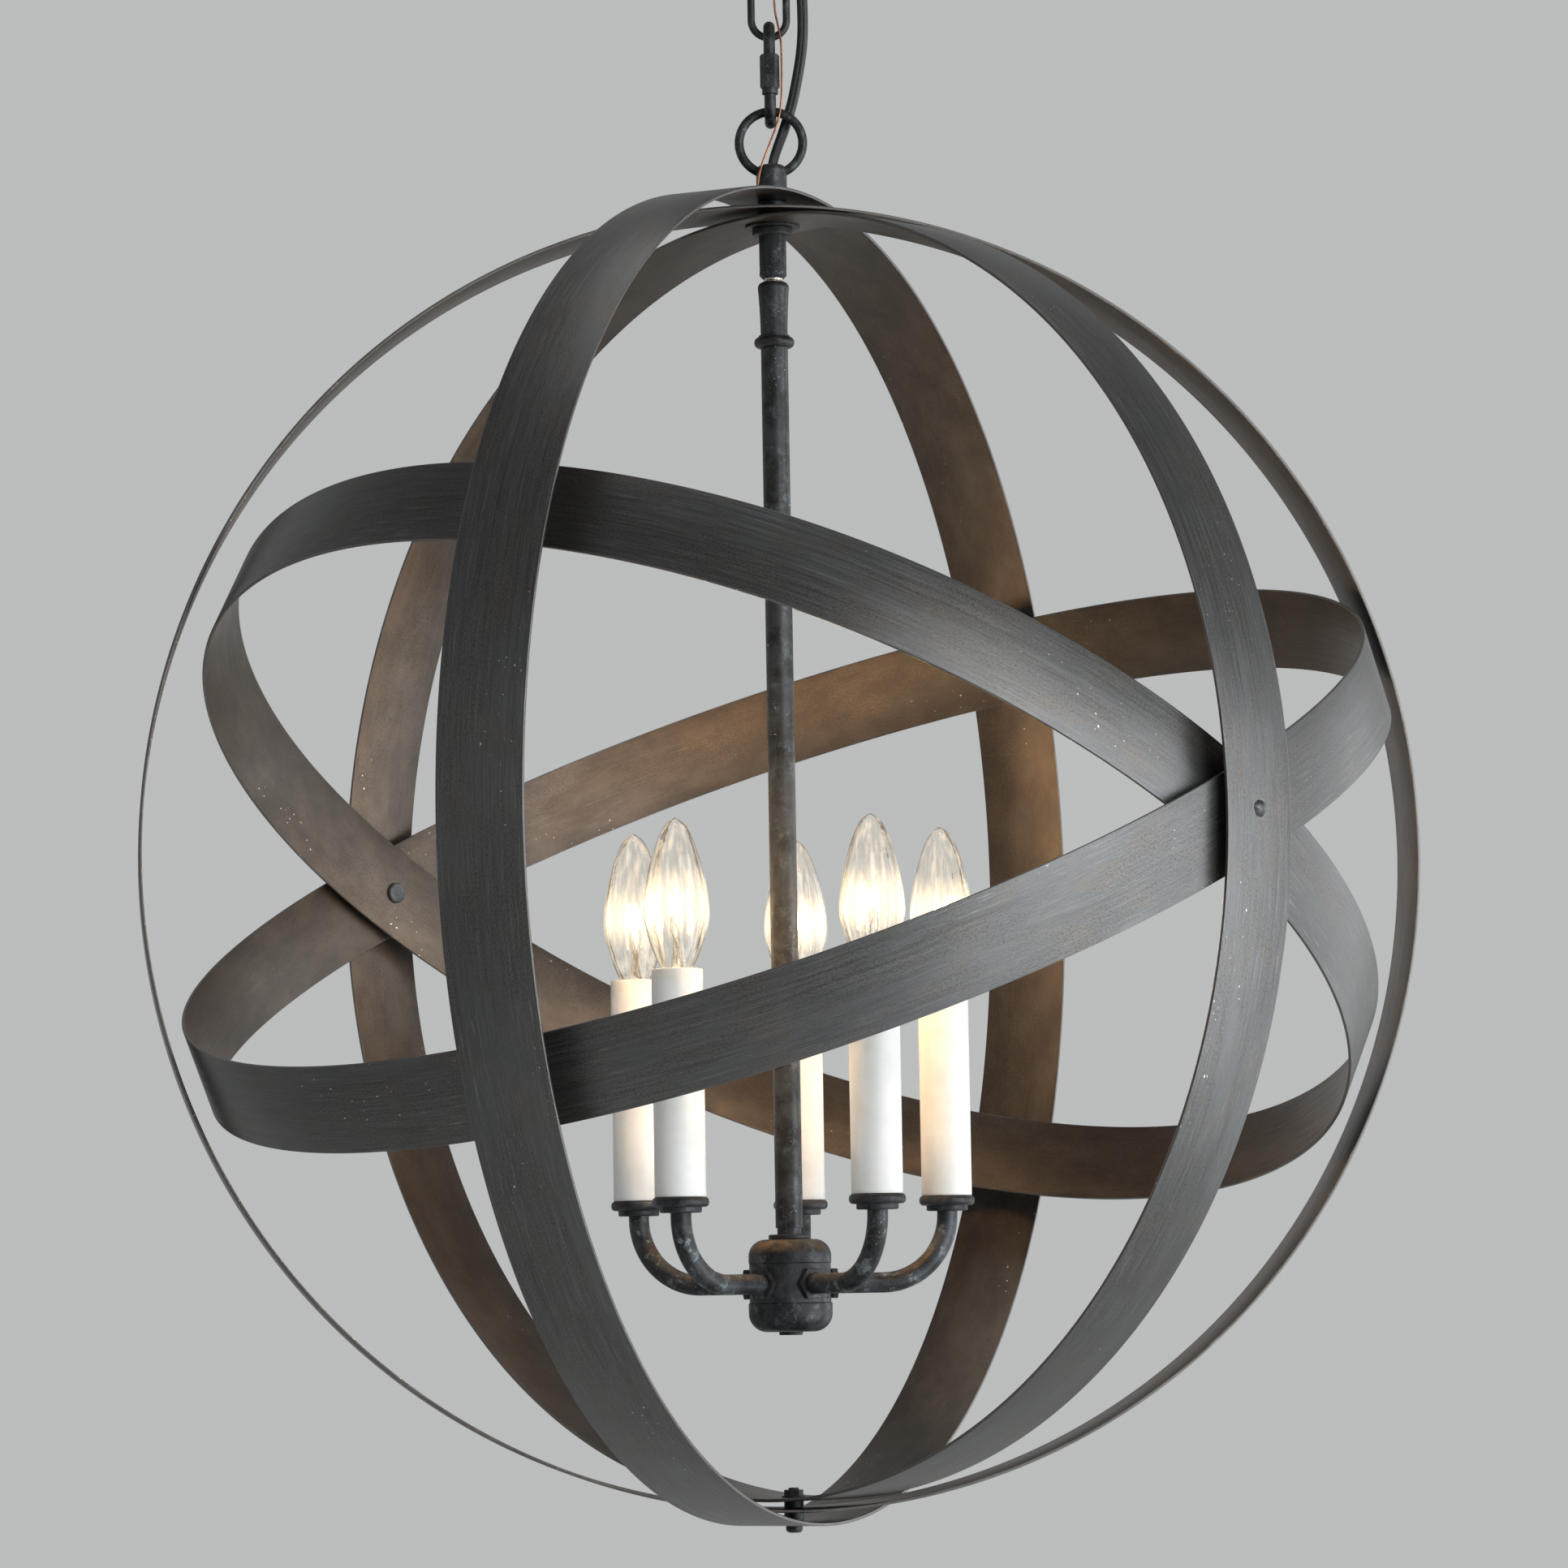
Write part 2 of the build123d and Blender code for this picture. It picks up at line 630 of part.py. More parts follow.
def make_canopy_loop():
    """Upper ring on its boss, the shank through the canopy, and the screw collar."""
    z = CANOPY_LOOP_Z
    seat = CANOPY_UNDER_Z - CANOPY_COLLAR_H
    top = CANOPY_UNDER_Z + CANOPY_SHANK_TOP
    body = rod(BOSS_D, z + CANOPY_LOOP_BODY, seat)
    body = fillet(body.edges().group_by(Axis.Z)[0], BOSS_SHOULDER)
    body += rod(CANOPY_SHANK_D, seat, top)
    body += Pos(0, 0, z) * ring_solid(LOOP_RING_R, LOOP_WIRE, (1, 0, 0))
    body -= rod(CORD_HOLE_D, z + CANOPY_LOOP_BODY - 2, top - CANOPY_NIPPLE_IN)
    body -= rod(NIPPLE_D, top - CANOPY_NIPPLE_IN, top)
    nodes["canopy_loop"] = body
    collar = pipe(CANOPY_COLLAR_D, CANOPY_SHANK_D, seat, CANOPY_UNDER_Z)
    outer = collar.edges().filter_by(GeomType.CIRCLE).sort_by(lambda e: -e.radius)[:2]
    nodes["canopy_collar"] = fillet(outer, 1.8)


def make_ceiling_hardware():
    """Crossbar for the ceiling box, the nipple that hangs from it, nuts and screw."""
    low = CEILING_Z - CROSSBAR_T
    bar = Pos(0, 0, low) * Box(
        CROSSBAR_L, CROSSBAR_W, CROSSBAR_T, align=(Align.CENTER, Align.CENTER, Align.MIN)
    )
    slot = extrude(
        SlotCenterToCenter((BOX_SPACING_MAX - BOX_SPACING_MIN) / 2, BOX_SLOT_W),
        CROSSBAR_T,
    )
    reach = (BOX_SPACING_MAX + BOX_SPACING_MIN) / 4
    for side in (1, -1):
        bar -= Pos(side * reach, 0, low) * slot
    bar -= rod(NIPPLE_D, low, CEILING_Z)
    bar -= Pos(GROUND_SCREW_X, 0, 0) * rod(GROUND_SCREW_D, low, CEILING_Z)
    nodes["crossbar"] = bar
    shank_top = CANOPY_UNDER_Z + CANOPY_SHANK_TOP
    nodes["canopy_nipple"] = pipe(
        NIPPLE_D, NIPPLE_BORE, shank_top - CANOPY_NIPPLE_IN, CEILING_Z
    )
    seats = (shank_top, low - LOCKNUT_H)
    nodes["canopy_locknuts"] = Compound(
        [hex_nut(LOCKNUT_AF, NIPPLE_D, z, z + LOCKNUT_H).solid() for z in seats]
    )
    head = low - GROUND_HEAD_H
    screw = hex_nut(GROUND_HEAD_AF, GROUND_SCREW_D, head, low)
    screw += rod(GROUND_SCREW_D, head, head + GROUND_SCREW_L - CROSSBAR_T)
    nodes["ground_screw"] = Pos(GROUND_SCREW_X, 0, 0) * screw


# ---- Stem -------------------------------------------------------------------


def make_coupling():
    """Washer and lock ring under the straps, and the grooved coupling below them."""
    nodes["top_washer"] = pipe(WASHER_D, NIPPLE_D, LOCKRING_Z, WASHER_Z)
    ring = pipe(LOCKRING_D, NIPPLE_D, COUPLING_Z, LOCKRING_Z)
    outer = ring.edges().filter_by(GeomType.CIRCLE).sort_by(lambda e: -e.radius)[:2]
    nodes["top_lock_ring"] = fillet(outer, 0.7)
    r = COUPLING_D / 2
    body = rod(COUPLING_D, SWIVEL_Z, COUPLING_Z)
    body = chamfer(body.edges().group_by(Axis.Z)[0], COUPLING_CHAMFER)
    for i in range(COUPLING_GROOVES):
        z = SWIVEL_Z + GROOVE_UP + i * GROOVE_PITCH
        body -= pipe(COUPLING_D + 1, 2 * (r - GROOVE_DEEP), z, z + GROOVE_W)
    body -= rod(NIPPLE_D, COUPLING_Z - SWIVEL_IN, COUPLING_Z)
    body -= rod(NIPPLE_BORE, SWIVEL_Z, COUPLING_Z)
    body -= rod(SWIVEL_D + 2 * BORE_GAP, SWIVEL_Z, SWIVEL_Z + SWIVEL_IN + RUN_GAP)
    nodes["coupling"] = body
    nodes["swivel_nipple"] = pipe(
        SWIVEL_D, NIPPLE_BORE, FERRULE_Z - SWIVEL_IN, SWIVEL_Z + SWIVEL_IN
    )


def make_ferrule():
    """Tapered ferrule with a rounded shoulder and a spigot down into the stem."""
    top = FERRULE_Z
    wide = top - FERRULE_SHOULDER
    low = BEAD_STEP_Z
    r_top = FERRULE_TOP_D / 2
    r_max = FERRULE_MAX_D / 2
    r_low = STEM_D / 2
    r_spigot = SPIGOT_D / 2
    end = STEM_Z - SPIGOT_L
    mid_z = (wide + low) / 2
    body = turned_curve(
        Line((0, top), (r_top, top)),
        ThreePointArc((r_top, top), (r_top + (r_max - r_top) * 0.72, top - 1.0), (r_max, wide)),
        ThreePointArc((r_max, wide), ((r_max + r_low) / 2 - 0.22, mid_z), (r_low, low)),
        Line((r_low, low), (r_spigot, low)),
        Line((r_spigot, low), (r_spigot, end)),
        Line((r_spigot, end), (0, end)),
        Line((0, end), (0, top)),
    )
    body -= rod(NIPPLE_BORE, end, top)
    body -= rod(SWIVEL_D, top - SWIVEL_IN, top)
    nodes["ferrule"] = body
    bead = pipe(BEAD_D, SPIGOT_D, STEM_Z, BEAD_Z)
    outer = bead.edges().filter_by(GeomType.CIRCLE).sort_by(lambda e: -e.radius)[:2]
    bead = fillet(outer, BEAD_H * 0.46)
    nodes["bead_collar"] = bead + pipe(BEAD_STEP_D, SPIGOT_D, BEAD_Z, BEAD_STEP_Z)


def make_stem():
    """Long tube with a necked, threaded lower end."""
    bore = STEM_D - 2 * STEM_WALL
    neck = STEM_END_Z + STEM_NECK_H
    body = rod(STEM_D, neck, STEM_Z)
    body += rod(NIPPLE_D + 2 * STEM_NECK_WALL, STEM_END_Z, neck)
    body -= rod(bore, STEM_END_Z + STEM_PLUG_H, STEM_Z)
    body -= rod(NIPPLE_D, STEM_END_Z, STEM_END_Z + STEM_PLUG_H)
    nodes["stem_tube"] = body


# ---- Cluster ----------------------------------------------------------------


def bowl(height, rim_d, flat_d, skirt, bore):
    """Shallow shell that opens down, its flat top at z = height and its rim at 0."""
    w = SHELL_WALL
    r = rim_d / 2
    flat = flat_d / 2
    turn = cos(pi / 4)
    drop = height - skirt
    reach = r - flat
    middle = (flat + reach * turn, skirt + drop * turn)
    inner_middle = (flat + (reach - w) * turn, skirt + (drop - w) * turn)
    return turned_curve(
        Line((bore / 2, height), (flat, height)),
        ThreePointArc((flat, height), middle, (r, skirt)),
        Line((r, skirt), (r, 0)),
        Line((r, 0), (r - w, 0)),
        Line((r - w, 0), (r - w, skirt)),
        ThreePointArc((r - w, skirt), inner_middle, (flat, height - w)),
        Line((flat, height - w), (bore / 2, height - w)),
        Line((bore / 2, height - w), (bore / 2, height)),
    )


def make_cluster_body():
    """Collar, cap, hub, lower cup and finial, all on one hollow nipple."""
    collar = pipe(COLLAR_D, NIPPLE_D, CAP_Z, STEM_END_Z)
    outer = collar.edges().filter_by(GeomType.CIRCLE).sort_by(lambda e: -e.radius)[:2]
    nodes["stem_collar"] = fillet(outer, 0.6)
    nodes["cap"] = Pos(0, 0, HUB_Z) * bowl(CAP_H, CAP_D, CAP_FLAT_D, CAP_SKIRT, NIPPLE_D)
    hub = pipe(HUB_D, HUB_D - 2 * HUB_WALL, CUP_Z, HUB_Z)
    for az in arm_headings():
        drill = Pos(HUB_D / 2, 0, ARM_Z) * Rot(0, 90, 0) * Cylinder(ARM_D / 2, HUB_D / 2)
        hub -= Rot(0, 0, az) * drill
    nodes["hub"] = hub
    cup = Pos(0, 0, CUP_Z) * Rot(180, 0, 0) * bowl(CUP_H, CUP_D, CUP_FLAT_D, CUP_SKIRT, NIPPLE_D)
    nodes["lower_cup"] = cup
    knob = rod(FINIAL_D, FINIAL_Z - FINIAL_H, FINIAL_Z)
    knob = fillet(knob.edges().group_by(Axis.Z)[0], FINIAL_H * 0.4)
    nodes["finial"] = knob + rod(NIPPLE_BORE, FINIAL_Z, FINIAL_Z + FINIAL_SPIGOT_H)
    nodes["cluster_nipple"] = pipe(
        NIPPLE_D, NIPPLE_BORE, FINIAL_Z, STEM_END_Z + STEM_PLUG_H
    )


def arm_headings():
    """Heading of each arm in degrees."""
    return [FIRST_ARM_AZ + i * 360 / ARMS for i in range(ARMS)]


def make_arm():
    """Bent tube from inside the hub's wall, out and up into the candle."""
    start = HUB_D / 2 - HUB_WALL
    path = FilletPolyline(
        (start, 0, ARM_Z), (ARM_REACH, 0, ARM_Z), (ARM_REACH, 0, ARM_TOP_Z), radius=ARM_BEND_R
    )
    return swept_wire(path, ARM_D, ARM_D - 2 * ARM_WALL)


def make_arm_nut():
    """Hexagon nut on the arm against the hub, with flats above and below."""
    nut = hex_nut(ARM_NUT_AF, ARM_D, 0, ARM_NUT_H)
    return Pos(HUB_D / 2, 0, ARM_Z) * Rot(0, 90, 0) * Rot(0, 0, 90) * nut


def make_pan():
    """Round drip pan with a rounded rim and a smaller step below it."""
    rim = rod(PAN_D, PAN_Z + PAN_STEP_H, PAN_TOP_Z)
    rim = fillet(rim.edges().filter_by(GeomType.CIRCLE), PAN_ROUND)
    step = rod(PAN_STEP_D, PAN_Z, PAN_Z + PAN_STEP_H)
    step = fillet(step.edges().group_by(Axis.Z)[0], 0.8)
    return rim + step - rod(ARM_D, PAN_Z, PAN_TOP_Z)


def make_socket():
    """Lamp socket: a cup for the bulb's base on a narrower foot over the arm's end."""
    lip = LIP_Z - SOCKET_BELOW
    neck = lip - SOCKET_CUP_L
    body = rod(SOCKET_D, neck, lip) + rod(SOCKET_STEM_D, PAN_TOP_Z, neck)
    body -= rod(BULB_BASE_D + 2 * BULB_BASE_GAP, lip - SOCKET_DEEP, lip)
    body -= rod(NIPPLE_BORE, PAN_TOP_Z, neck)
    body -= rod(ARM_D, PAN_TOP_Z, ARM_TOP_Z)
    return body


def bulb_outline(wall):
    """Half outline of the glass, drawn in by a wall, from its neck to its tip."""
    base = LIP_Z - SOCKET_BELOW + BULB_BASE_GAP
    neck = LIP_Z + BULB_BASE_GAP + BULB_GLASS_WALL
    widest = LIP_Z + BULB_MAX_UP
    tip = LIP_Z + BULB_L
    r = BULB_MAX_D / 2
    return Spline(
        (BULB_BASE_D / 2 - wall, base),
        (BULB_NECK_D / 2 - wall, neck),
        (r * BULB_LOW_SHARE - wall, (neck + widest) / 2),
        (r - wall, widest),
        (r * BULB_HIGH_SHARE - wall, (widest + tip) / 2),
        (BULB_TIP_D / 2 - wall, tip - BULB_TIP_H),
        (0, tip - wall),
        tangents=((0.7, 1), (-1, -0.12)),
    )


def make_bulb():
    """Torpedo bulb: hollow glass, screw base, and a filament on its glass stem."""
    base = LIP_Z - SOCKET_BELOW + BULB_BASE_GAP
    low = (BULB_BASE_D / 2, base)
    low_in = (BULB_BASE_D / 2 - BULB_GLASS_WALL, base)
    tip = LIP_Z + BULB_L
    outside = bulb_outline(0)
    inside = bulb_outline(BULB_GLASS_WALL)
    glass = turned_curve(
        outside,
        Line((0, tip), (0, tip - BULB_GLASS_WALL)),
        inside,
        Line(low_in, low),
    )
    screw = rod(BULB_BASE_D, base - BULB_BASE_L, base)
    screw = chamfer(screw.edges().group_by(Axis.Z)[0], 3.0, 2.2)
    stem_top = base + BULB_STEM_UP
    stem = rod(BULB_STEM_D, base, stem_top)
    half = FILAMENT_W / 2
    peak = LIP_Z + FILAMENT_UP
    wire = FilletPolyline(
        (0, -1.2, stem_top - 2),
        (0, -half, peak - 3),
        (0, 0, peak + 3),
        (0, half, peak - 3),
        (0, 1.2, stem_top - 2),
        radius=1.0,
    )
    return [glass.solid(), screw.solid(), (stem + swept_wire(wire, FILAMENT_D)).solid()]


def make_candles():
    arm = make_arm()
    nut = make_arm_nut()
    pan = make_pan()
    sleeve = pipe(SLEEVE_D, SLEEVE_D - 2 * SLEEVE_WALL, PAN_TOP_Z, LIP_Z)
    socket = make_socket()
    bulb = make_bulb()
    headings = arm_headings()
    out = Pos(ARM_REACH, 0, 0)
    for i, az in enumerate(headings, 1):
        turn = Rot(0, 0, az)
        nodes[f"arm_{i}"] = turn * arm
        nodes[f"candle_sleeve_{i}"] = turn * out * sleeve
        nodes[f"bulb_{i}"] = Compound([turn * out * s for s in bulb])
    nodes["arm_nuts"] = Compound([(Rot(0, 0, az) * nut).solid() for az in headings])
    nodes["drip_pans"] = Compound([(Rot(0, 0, az) * out * pan).solid() for az in headings])
    nodes["sockets"] = Compound([(Rot(0, 0, az) * out * socket).solid() for az in headings])


make_hoops()
make_rivets()
make_bottom_pole()
make_top_pole()
make_loop_boss()
make_chain_link()
make_quick_link()
for cord_name, cord_route in CORD_ROUTES.items():
    routed_cord(cord_name, cord_route, CORD_D)
for wire_name, wire_route in WIRE_ROUTES.items():
    routed_cord(wire_name, wire_route, WIRE_D)
make_canopy()
make_canopy_loop()
make_ceiling_hardware()
make_coupling()
make_ferrule()
make_stem()
make_cluster_body()
make_candles()

os.makedirs("parts", exist_ok=True)
for node_name, node_shape in nodes.items():
    export_step(Pos(0, 0, -CEILING_Z) * node_shape, f"parts/{node_name}.step")
print(f"{len(nodes)} nodes, orb centre at z = {-CEILING_Z:.2f}")
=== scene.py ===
from math import atan2, cos, pi, radians, sin, sqrt

import bmesh
import bpy
from mathutils import Matrix, Vector


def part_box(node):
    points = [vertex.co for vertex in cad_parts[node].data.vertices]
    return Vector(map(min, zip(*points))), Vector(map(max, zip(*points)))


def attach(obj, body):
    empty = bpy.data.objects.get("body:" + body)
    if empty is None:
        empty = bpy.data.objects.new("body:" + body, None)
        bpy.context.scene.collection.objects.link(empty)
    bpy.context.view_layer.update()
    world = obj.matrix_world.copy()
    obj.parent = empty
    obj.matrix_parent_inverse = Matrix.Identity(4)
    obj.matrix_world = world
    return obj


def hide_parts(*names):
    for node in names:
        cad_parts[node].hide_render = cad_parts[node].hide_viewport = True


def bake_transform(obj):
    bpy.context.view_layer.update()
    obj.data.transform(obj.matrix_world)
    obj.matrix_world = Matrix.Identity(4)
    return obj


# Orb chandelier: five strap hoops round a five-candle cluster, hung by a short
# chain from a ceiling canopy. Metres; the ceiling is at z = 0.

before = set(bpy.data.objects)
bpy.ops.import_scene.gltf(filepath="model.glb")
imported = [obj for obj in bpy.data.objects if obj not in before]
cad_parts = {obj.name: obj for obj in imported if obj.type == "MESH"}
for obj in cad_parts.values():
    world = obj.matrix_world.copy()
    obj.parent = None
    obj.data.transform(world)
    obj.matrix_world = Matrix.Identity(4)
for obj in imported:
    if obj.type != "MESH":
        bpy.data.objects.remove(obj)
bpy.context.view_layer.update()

# ---- Camera ----------------------------------------------------------
# A long lens a little below the orb's centre, looking slightly up, with the
# roll that the picture was taken with.

eye = Vector((0.0, -2.66785, -0.69962))
heading, rise, roll = radians(0.023), radians(5.212), radians(-0.975)
lens = bpy.data.cameras.new("camera")
lens.sensor_width = 36.0
lens.lens = 128.7
lens.clip_end = 100.0
ahead = Vector((sin(heading) * cos(rise), cos(heading) * cos(rise), sin(rise)))
level = Vector((cos(heading), -sin(heading), 0))
over = level.cross(ahead)
right = level * cos(roll) + over * sin(roll)
up = over * cos(roll) - level * sin(roll)
camera = bpy.data.objects.new("camera", lens)
camera.matrix_world = Matrix((
    (right.x, up.x, -ahead.x, eye.x),
    (right.y, up.y, -ahead.y, eye.y),
    (right.z, up.z, -ahead.z, eye.z),
    (0, 0, 0, 1),
))
bpy.context.scene.collection.objects.link(camera)
bpy.context.scene.camera = camera
bpy.context.scene.view_settings.view_transform = "Standard"

# ---- Ceiling hardware ------------------------------------------------
# Zinc-plated steel crossbar for the ceiling box, with the threaded nipple that
# carries the fixture, two hexagon locknuts and a green ground screw.


def add(tree, kind, sockets=None, **settings):
    """Add a node, set its settings, and fill or link its sockets."""
    made = tree.nodes.new(kind)
    for key, value in settings.items():
        setattr(made, key, value)
    for key, value in (sockets or {}).items():
        if isinstance(value, bpy.types.NodeSocket):
            tree.links.new(value, made.inputs[key])
        else:
            made.inputs[key].default_value = value
    return made


def first(tree, kind, sockets=None, **settings):
    """The first output of a node that is added."""
    return add(tree, kind, sockets, **settings).outputs[0]


def new_finish(name, roughness, metallic=0.0, colour=(0.5, 0.5, 0.5), fixed=None):
    """A material with one main shader: the material, its tree and the shader."""
    made = bpy.data.materials.new(name)
    made.use_nodes = True
    shader = made.node_tree.nodes["Principled BSDF"]
    shader.inputs["Base Color"].default_value = (*colour, 1)
    shader.inputs["Roughness"].default_value = roughness
    shader.inputs["Metallic"].default_value = metallic
    for key, value in (fixed or {}).items():
        shader.inputs[key].default_value = value
    return made, made.node_tree, shader


def paint(tree, shader, colour, rough=None):
    """Link a colour to the shader, and a roughness where there is one."""
    tree.links.new(colour, shader.inputs["Base Color"])
    if rough is not None:
        tree.links.new(rough, shader.inputs["Roughness"])


def body_place(tree):
    """The object's own coordinates."""
    return add(tree, "ShaderNodeTexCoord").outputs["Object"]


def stretched(tree, place, scale, shift=(0, 0, 0)):
    """Coordinates scaled along each axis, in features a metre."""
    change = {"Vector": place, "Scale": scale, "Location": shift}
    return add(tree, "ShaderNodeMapping", change).outputs["Vector"]


def grain(tree, place, scale, detail, roughness=0.55, distortion=0.0):
    """Noise between 0 and 1."""
    kind = {"Vector": place, "Scale": scale, "Detail": detail}
    kind.update({"Roughness": roughness, "Distortion": distortion})
    return add(tree, "ShaderNodeTexNoise", kind).outputs["Fac"]


def span(tree, value, low, high, start=0.0, end=1.0):
    """Value between low and high, spread from start to end and held there."""
    return add(
        tree,
        "ShaderNodeMapRange",
        {"Value": value, "From Min": low, "From Max": high, "To Min": start, "To Max": end},
        interpolation_type="SMOOTHSTEP",
    ).outputs["Result"]


def sums(tree, how, one, two):
    """One number from two."""
    return first(tree, "ShaderNodeMath", {0: one, 1: two}, operation=how)


def times(tree, one, two):
    """The product of two numbers."""
    return sums(tree, "MULTIPLY", one, two)


def tint(tree, amount, under, over):
    """One colour laid over another by an amount."""
    sides = {0: amount}
    for slot, colour in ((6, under), (7, over)):
        sides[slot] = colour if isinstance(colour, bpy.types.NodeSocket) else (*colour, 1)
    return add(tree, "ShaderNodeMix", sides, data_type="RGBA").outputs[2]


def relief(tree, shader, height, depth):
    """Bump the surface by a height that is depth metres at most."""
    bump = add(tree, "ShaderNodeBump", {"Height": height, "Distance": depth, "Strength": 1.0})
    tree.links.new(bump.outputs["Normal"], shader.inputs["Normal"])


def bare_copy(node):
    """A copy of a CAD piece's mesh with its doubles merged and its flats whole."""
    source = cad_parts[node].data
    shape = bmesh.new()
    points = [shape.verts.new(v.co) for v in source.vertices]
    for face in source.polygons:
        corners = [points[i] for i in face.vertices]
        if len(set(corners)) == 3:
            shape.faces.new(corners)
    bmesh.ops.remove_doubles(shape, verts=shape.verts, dist=2e-6)
    bmesh.ops.dissolve_limit(shape, angle_limit=radians(0.5), verts=shape.verts, edges=shape.edges)
    return shape


def in_scene(name, data):
    """A new object in the scene."""
    made = bpy.data.objects.new(name, data)
    bpy.context.scene.collection.objects.link(made)
    return made


def as_piece(name, shape, finish):
    """An object at the origin with that mesh and finish."""
    mesh = bpy.data.meshes.new(name)
    shape.to_mesh(mesh)
    shape.free()
    mesh.materials.append(finish)
    return in_scene(name, mesh)


def stand_in(piece, node, body):
    """Let a piece ride on a body in place of a CAD node."""
    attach(piece, body)
    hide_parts(node)


def settle(piece):
    """Turn a piece and its modifiers into a plain mesh."""
    seen = piece.evaluated_get(bpy.context.evaluated_depsgraph_get())
    piece.modifiers.clear()
    piece.data = bpy.data.meshes.new_from_object(seen)


def eased(node, finish, body, width, sharp=35.0):
    """A CAD piece with its corners broken by a small round, in its own finish."""
    piece = as_piece(node + "_shape", bare_copy(node), finish)
    for face in piece.data.polygons:
        face.use_smooth = True
    round_off = piece.modifiers.new("round", "BEVEL")
    round_off.width = width
    round_off.segments = 2
    round_off.limit_method = "ANGLE"
    round_off.angle_limit = radians(sharp)
    round_off.harden_normals = True
    settle(piece)
    stand_in(piece, node, body)


def zinc_plate():
    """Blue-white zinc with a spangle of faint crystals and dull finger marks."""
    made, tree, shader = new_finish("zinc_plate", 0.34, 0.9)
    place = body_place(tree)
    crystals = add(tree, "ShaderNodeTexVoronoi", {"Vector": place, "Scale": 420.0}).outputs["Distance"]
    marks = grain(tree, place, 70.0, 4.0)
    colour = tint(tree, span(tree, crystals, 0.1, 0.8), (0.56, 0.57, 0.57), (0.68, 0.68, 0.66))
    colour = tint(tree, span(tree, marks, 0.52, 0.7), colour, (0.42, 0.41, 0.38))
    paint(tree, shader, colour, span(tree, marks, 0.3, 0.7, 0.28, 0.5))
    relief(tree, shader, grain(tree, place, 900.0, 2.0), 0.00004)
    return made


zinc = zinc_plate()
eased("crossbar", zinc, "canopy", 0.0003)
eased("canopy_locknuts", zinc, "canopy", 0.0003)


def mesh_tree(name, sizes, finish):
    """A node tree that makes a mesh of named sizes in a finish, and what it is given."""
    tree = bpy.data.node_groups.new(name, "GeometryNodeTree")
    face = tree.interface
    face.new_socket("Geometry", in_out="OUTPUT", socket_type="NodeSocketGeometry")
    for key, value in sizes.items():
        kind = "NodeSocketInt" if isinstance(value, int) else "NodeSocketFloat"
        face.new_socket(key, in_out="INPUT", socket_type=kind).default_value = value
    face.new_socket(finish, in_out="INPUT", socket_type="NodeSocketMaterial")
    return tree, add(tree, "NodeGroupInput").outputs


def moved(tree, shape, **change):
    """A mesh or a curve turned, scaled or shifted."""
    return first(tree, "GeometryNodeTransform", {"Geometry": shape, **change})


def drawn_along(tree, line, section, caps=False):
    """A section drawn along a line."""
    given = {"Curve": line, "Profile Curve": section, "Fill Caps": caps}
    return first(tree, "GeometryNodeCurveToMesh", given)


def close_tree(tree, shape, finish):
    """End a tree with its real mesh in its finish."""
    real = first(tree, "GeometryNodeRealizeInstances", {0: shape})
    dressed = first(tree, "GeometryNodeSetMaterial", {"Geometry": real, "Material": finish})
    add(tree, "NodeGroupOutput", {0: dressed})
    return tree


def threaded_rod_tree():
    """Tube with a helical thread along it, standing on the origin."""
    sizes = {"Outside": 0.0049, "Bore": 0.0035, "Length": 0.03, "Pitch": 0.00095, "Thread": 0.0004}
    tree, given = mesh_tree("threaded_rod", sizes, "Metal")
    length, pitch = given["Length"], given["Pitch"]
    root = sums(tree, "SUBTRACT", given["Outside"], given["Thread"])
    wall = sums(tree, "SUBTRACT", root, given["Bore"])
    middle_radius = times(tree, sums(tree, "ADD", root, given["Bore"]), 0.5)
    ring = first(tree, "GeometryNodeCurvePrimitiveCircle", {"Resolution": 48, "Radius": middle_radius})
    ring = first(tree, "GeometryNodeSetCurveNormal", {"Curve": ring}, mode="Z_UP")
    section = first(tree, "GeometryNodeCurvePrimitiveQuadrilateral", {"Width": wall, "Height": length})
    middle = first(tree, "ShaderNodeCombineXYZ", {2: times(tree, length, 0.5)})
    tube = moved(tree, drawn_along(tree, ring, section), Translation=middle)
    # The thread starts and ends 0.6 of a pitch inside the tube's ends.
    run = sums(tree, "SUBTRACT", length, times(tree, pitch, 1.2))
    winding = {"Rotations": sums(tree, "DIVIDE", run, pitch), "Height": run}
    winding.update({"Resolution": 40, "Start Radius": root, "End Radius": root})
    helix = first(tree, "GeometryNodeCurveSpiral", winding)
    start = first(tree, "ShaderNodeCombineXYZ", {2: times(tree, pitch, 0.6)})
    crest = first(tree, "GeometryNodeCurvePrimitiveCircle", {"Resolution": 4, "Radius": given["Thread"]})
    thread = drawn_along(tree, moved(tree, helix, Translation=start), crest, caps=True)
    joined = add(tree, "GeometryNodeJoinGeometry")
    for part in (tube, thread):
        tree.links.new(part, joined.inputs[0])
    return close_tree(tree, joined.outputs[0], given["Metal"])


def by_tree(name, tree, inputs, place=None):
    """The plain mesh that a node tree gives for those inputs, moved into place."""
    holder = in_scene(name, bpy.data.meshes.new(name + "_blank"))
    maker = holder.modifiers.new("maker", "NODES")
    maker.node_group = tree
    names = {s.name: s.identifier for s in tree.interface.items_tree if s.in_out == "INPUT"}
    for key, value in inputs.items():
        maker[names[key]] = value
    settle(holder)
    if place is not None:
        holder.data.transform(place)
    for face in holder.data.polygons:
        face.use_smooth = True
    holder.data.set_sharp_from_angle(angle=radians(40))
    return holder


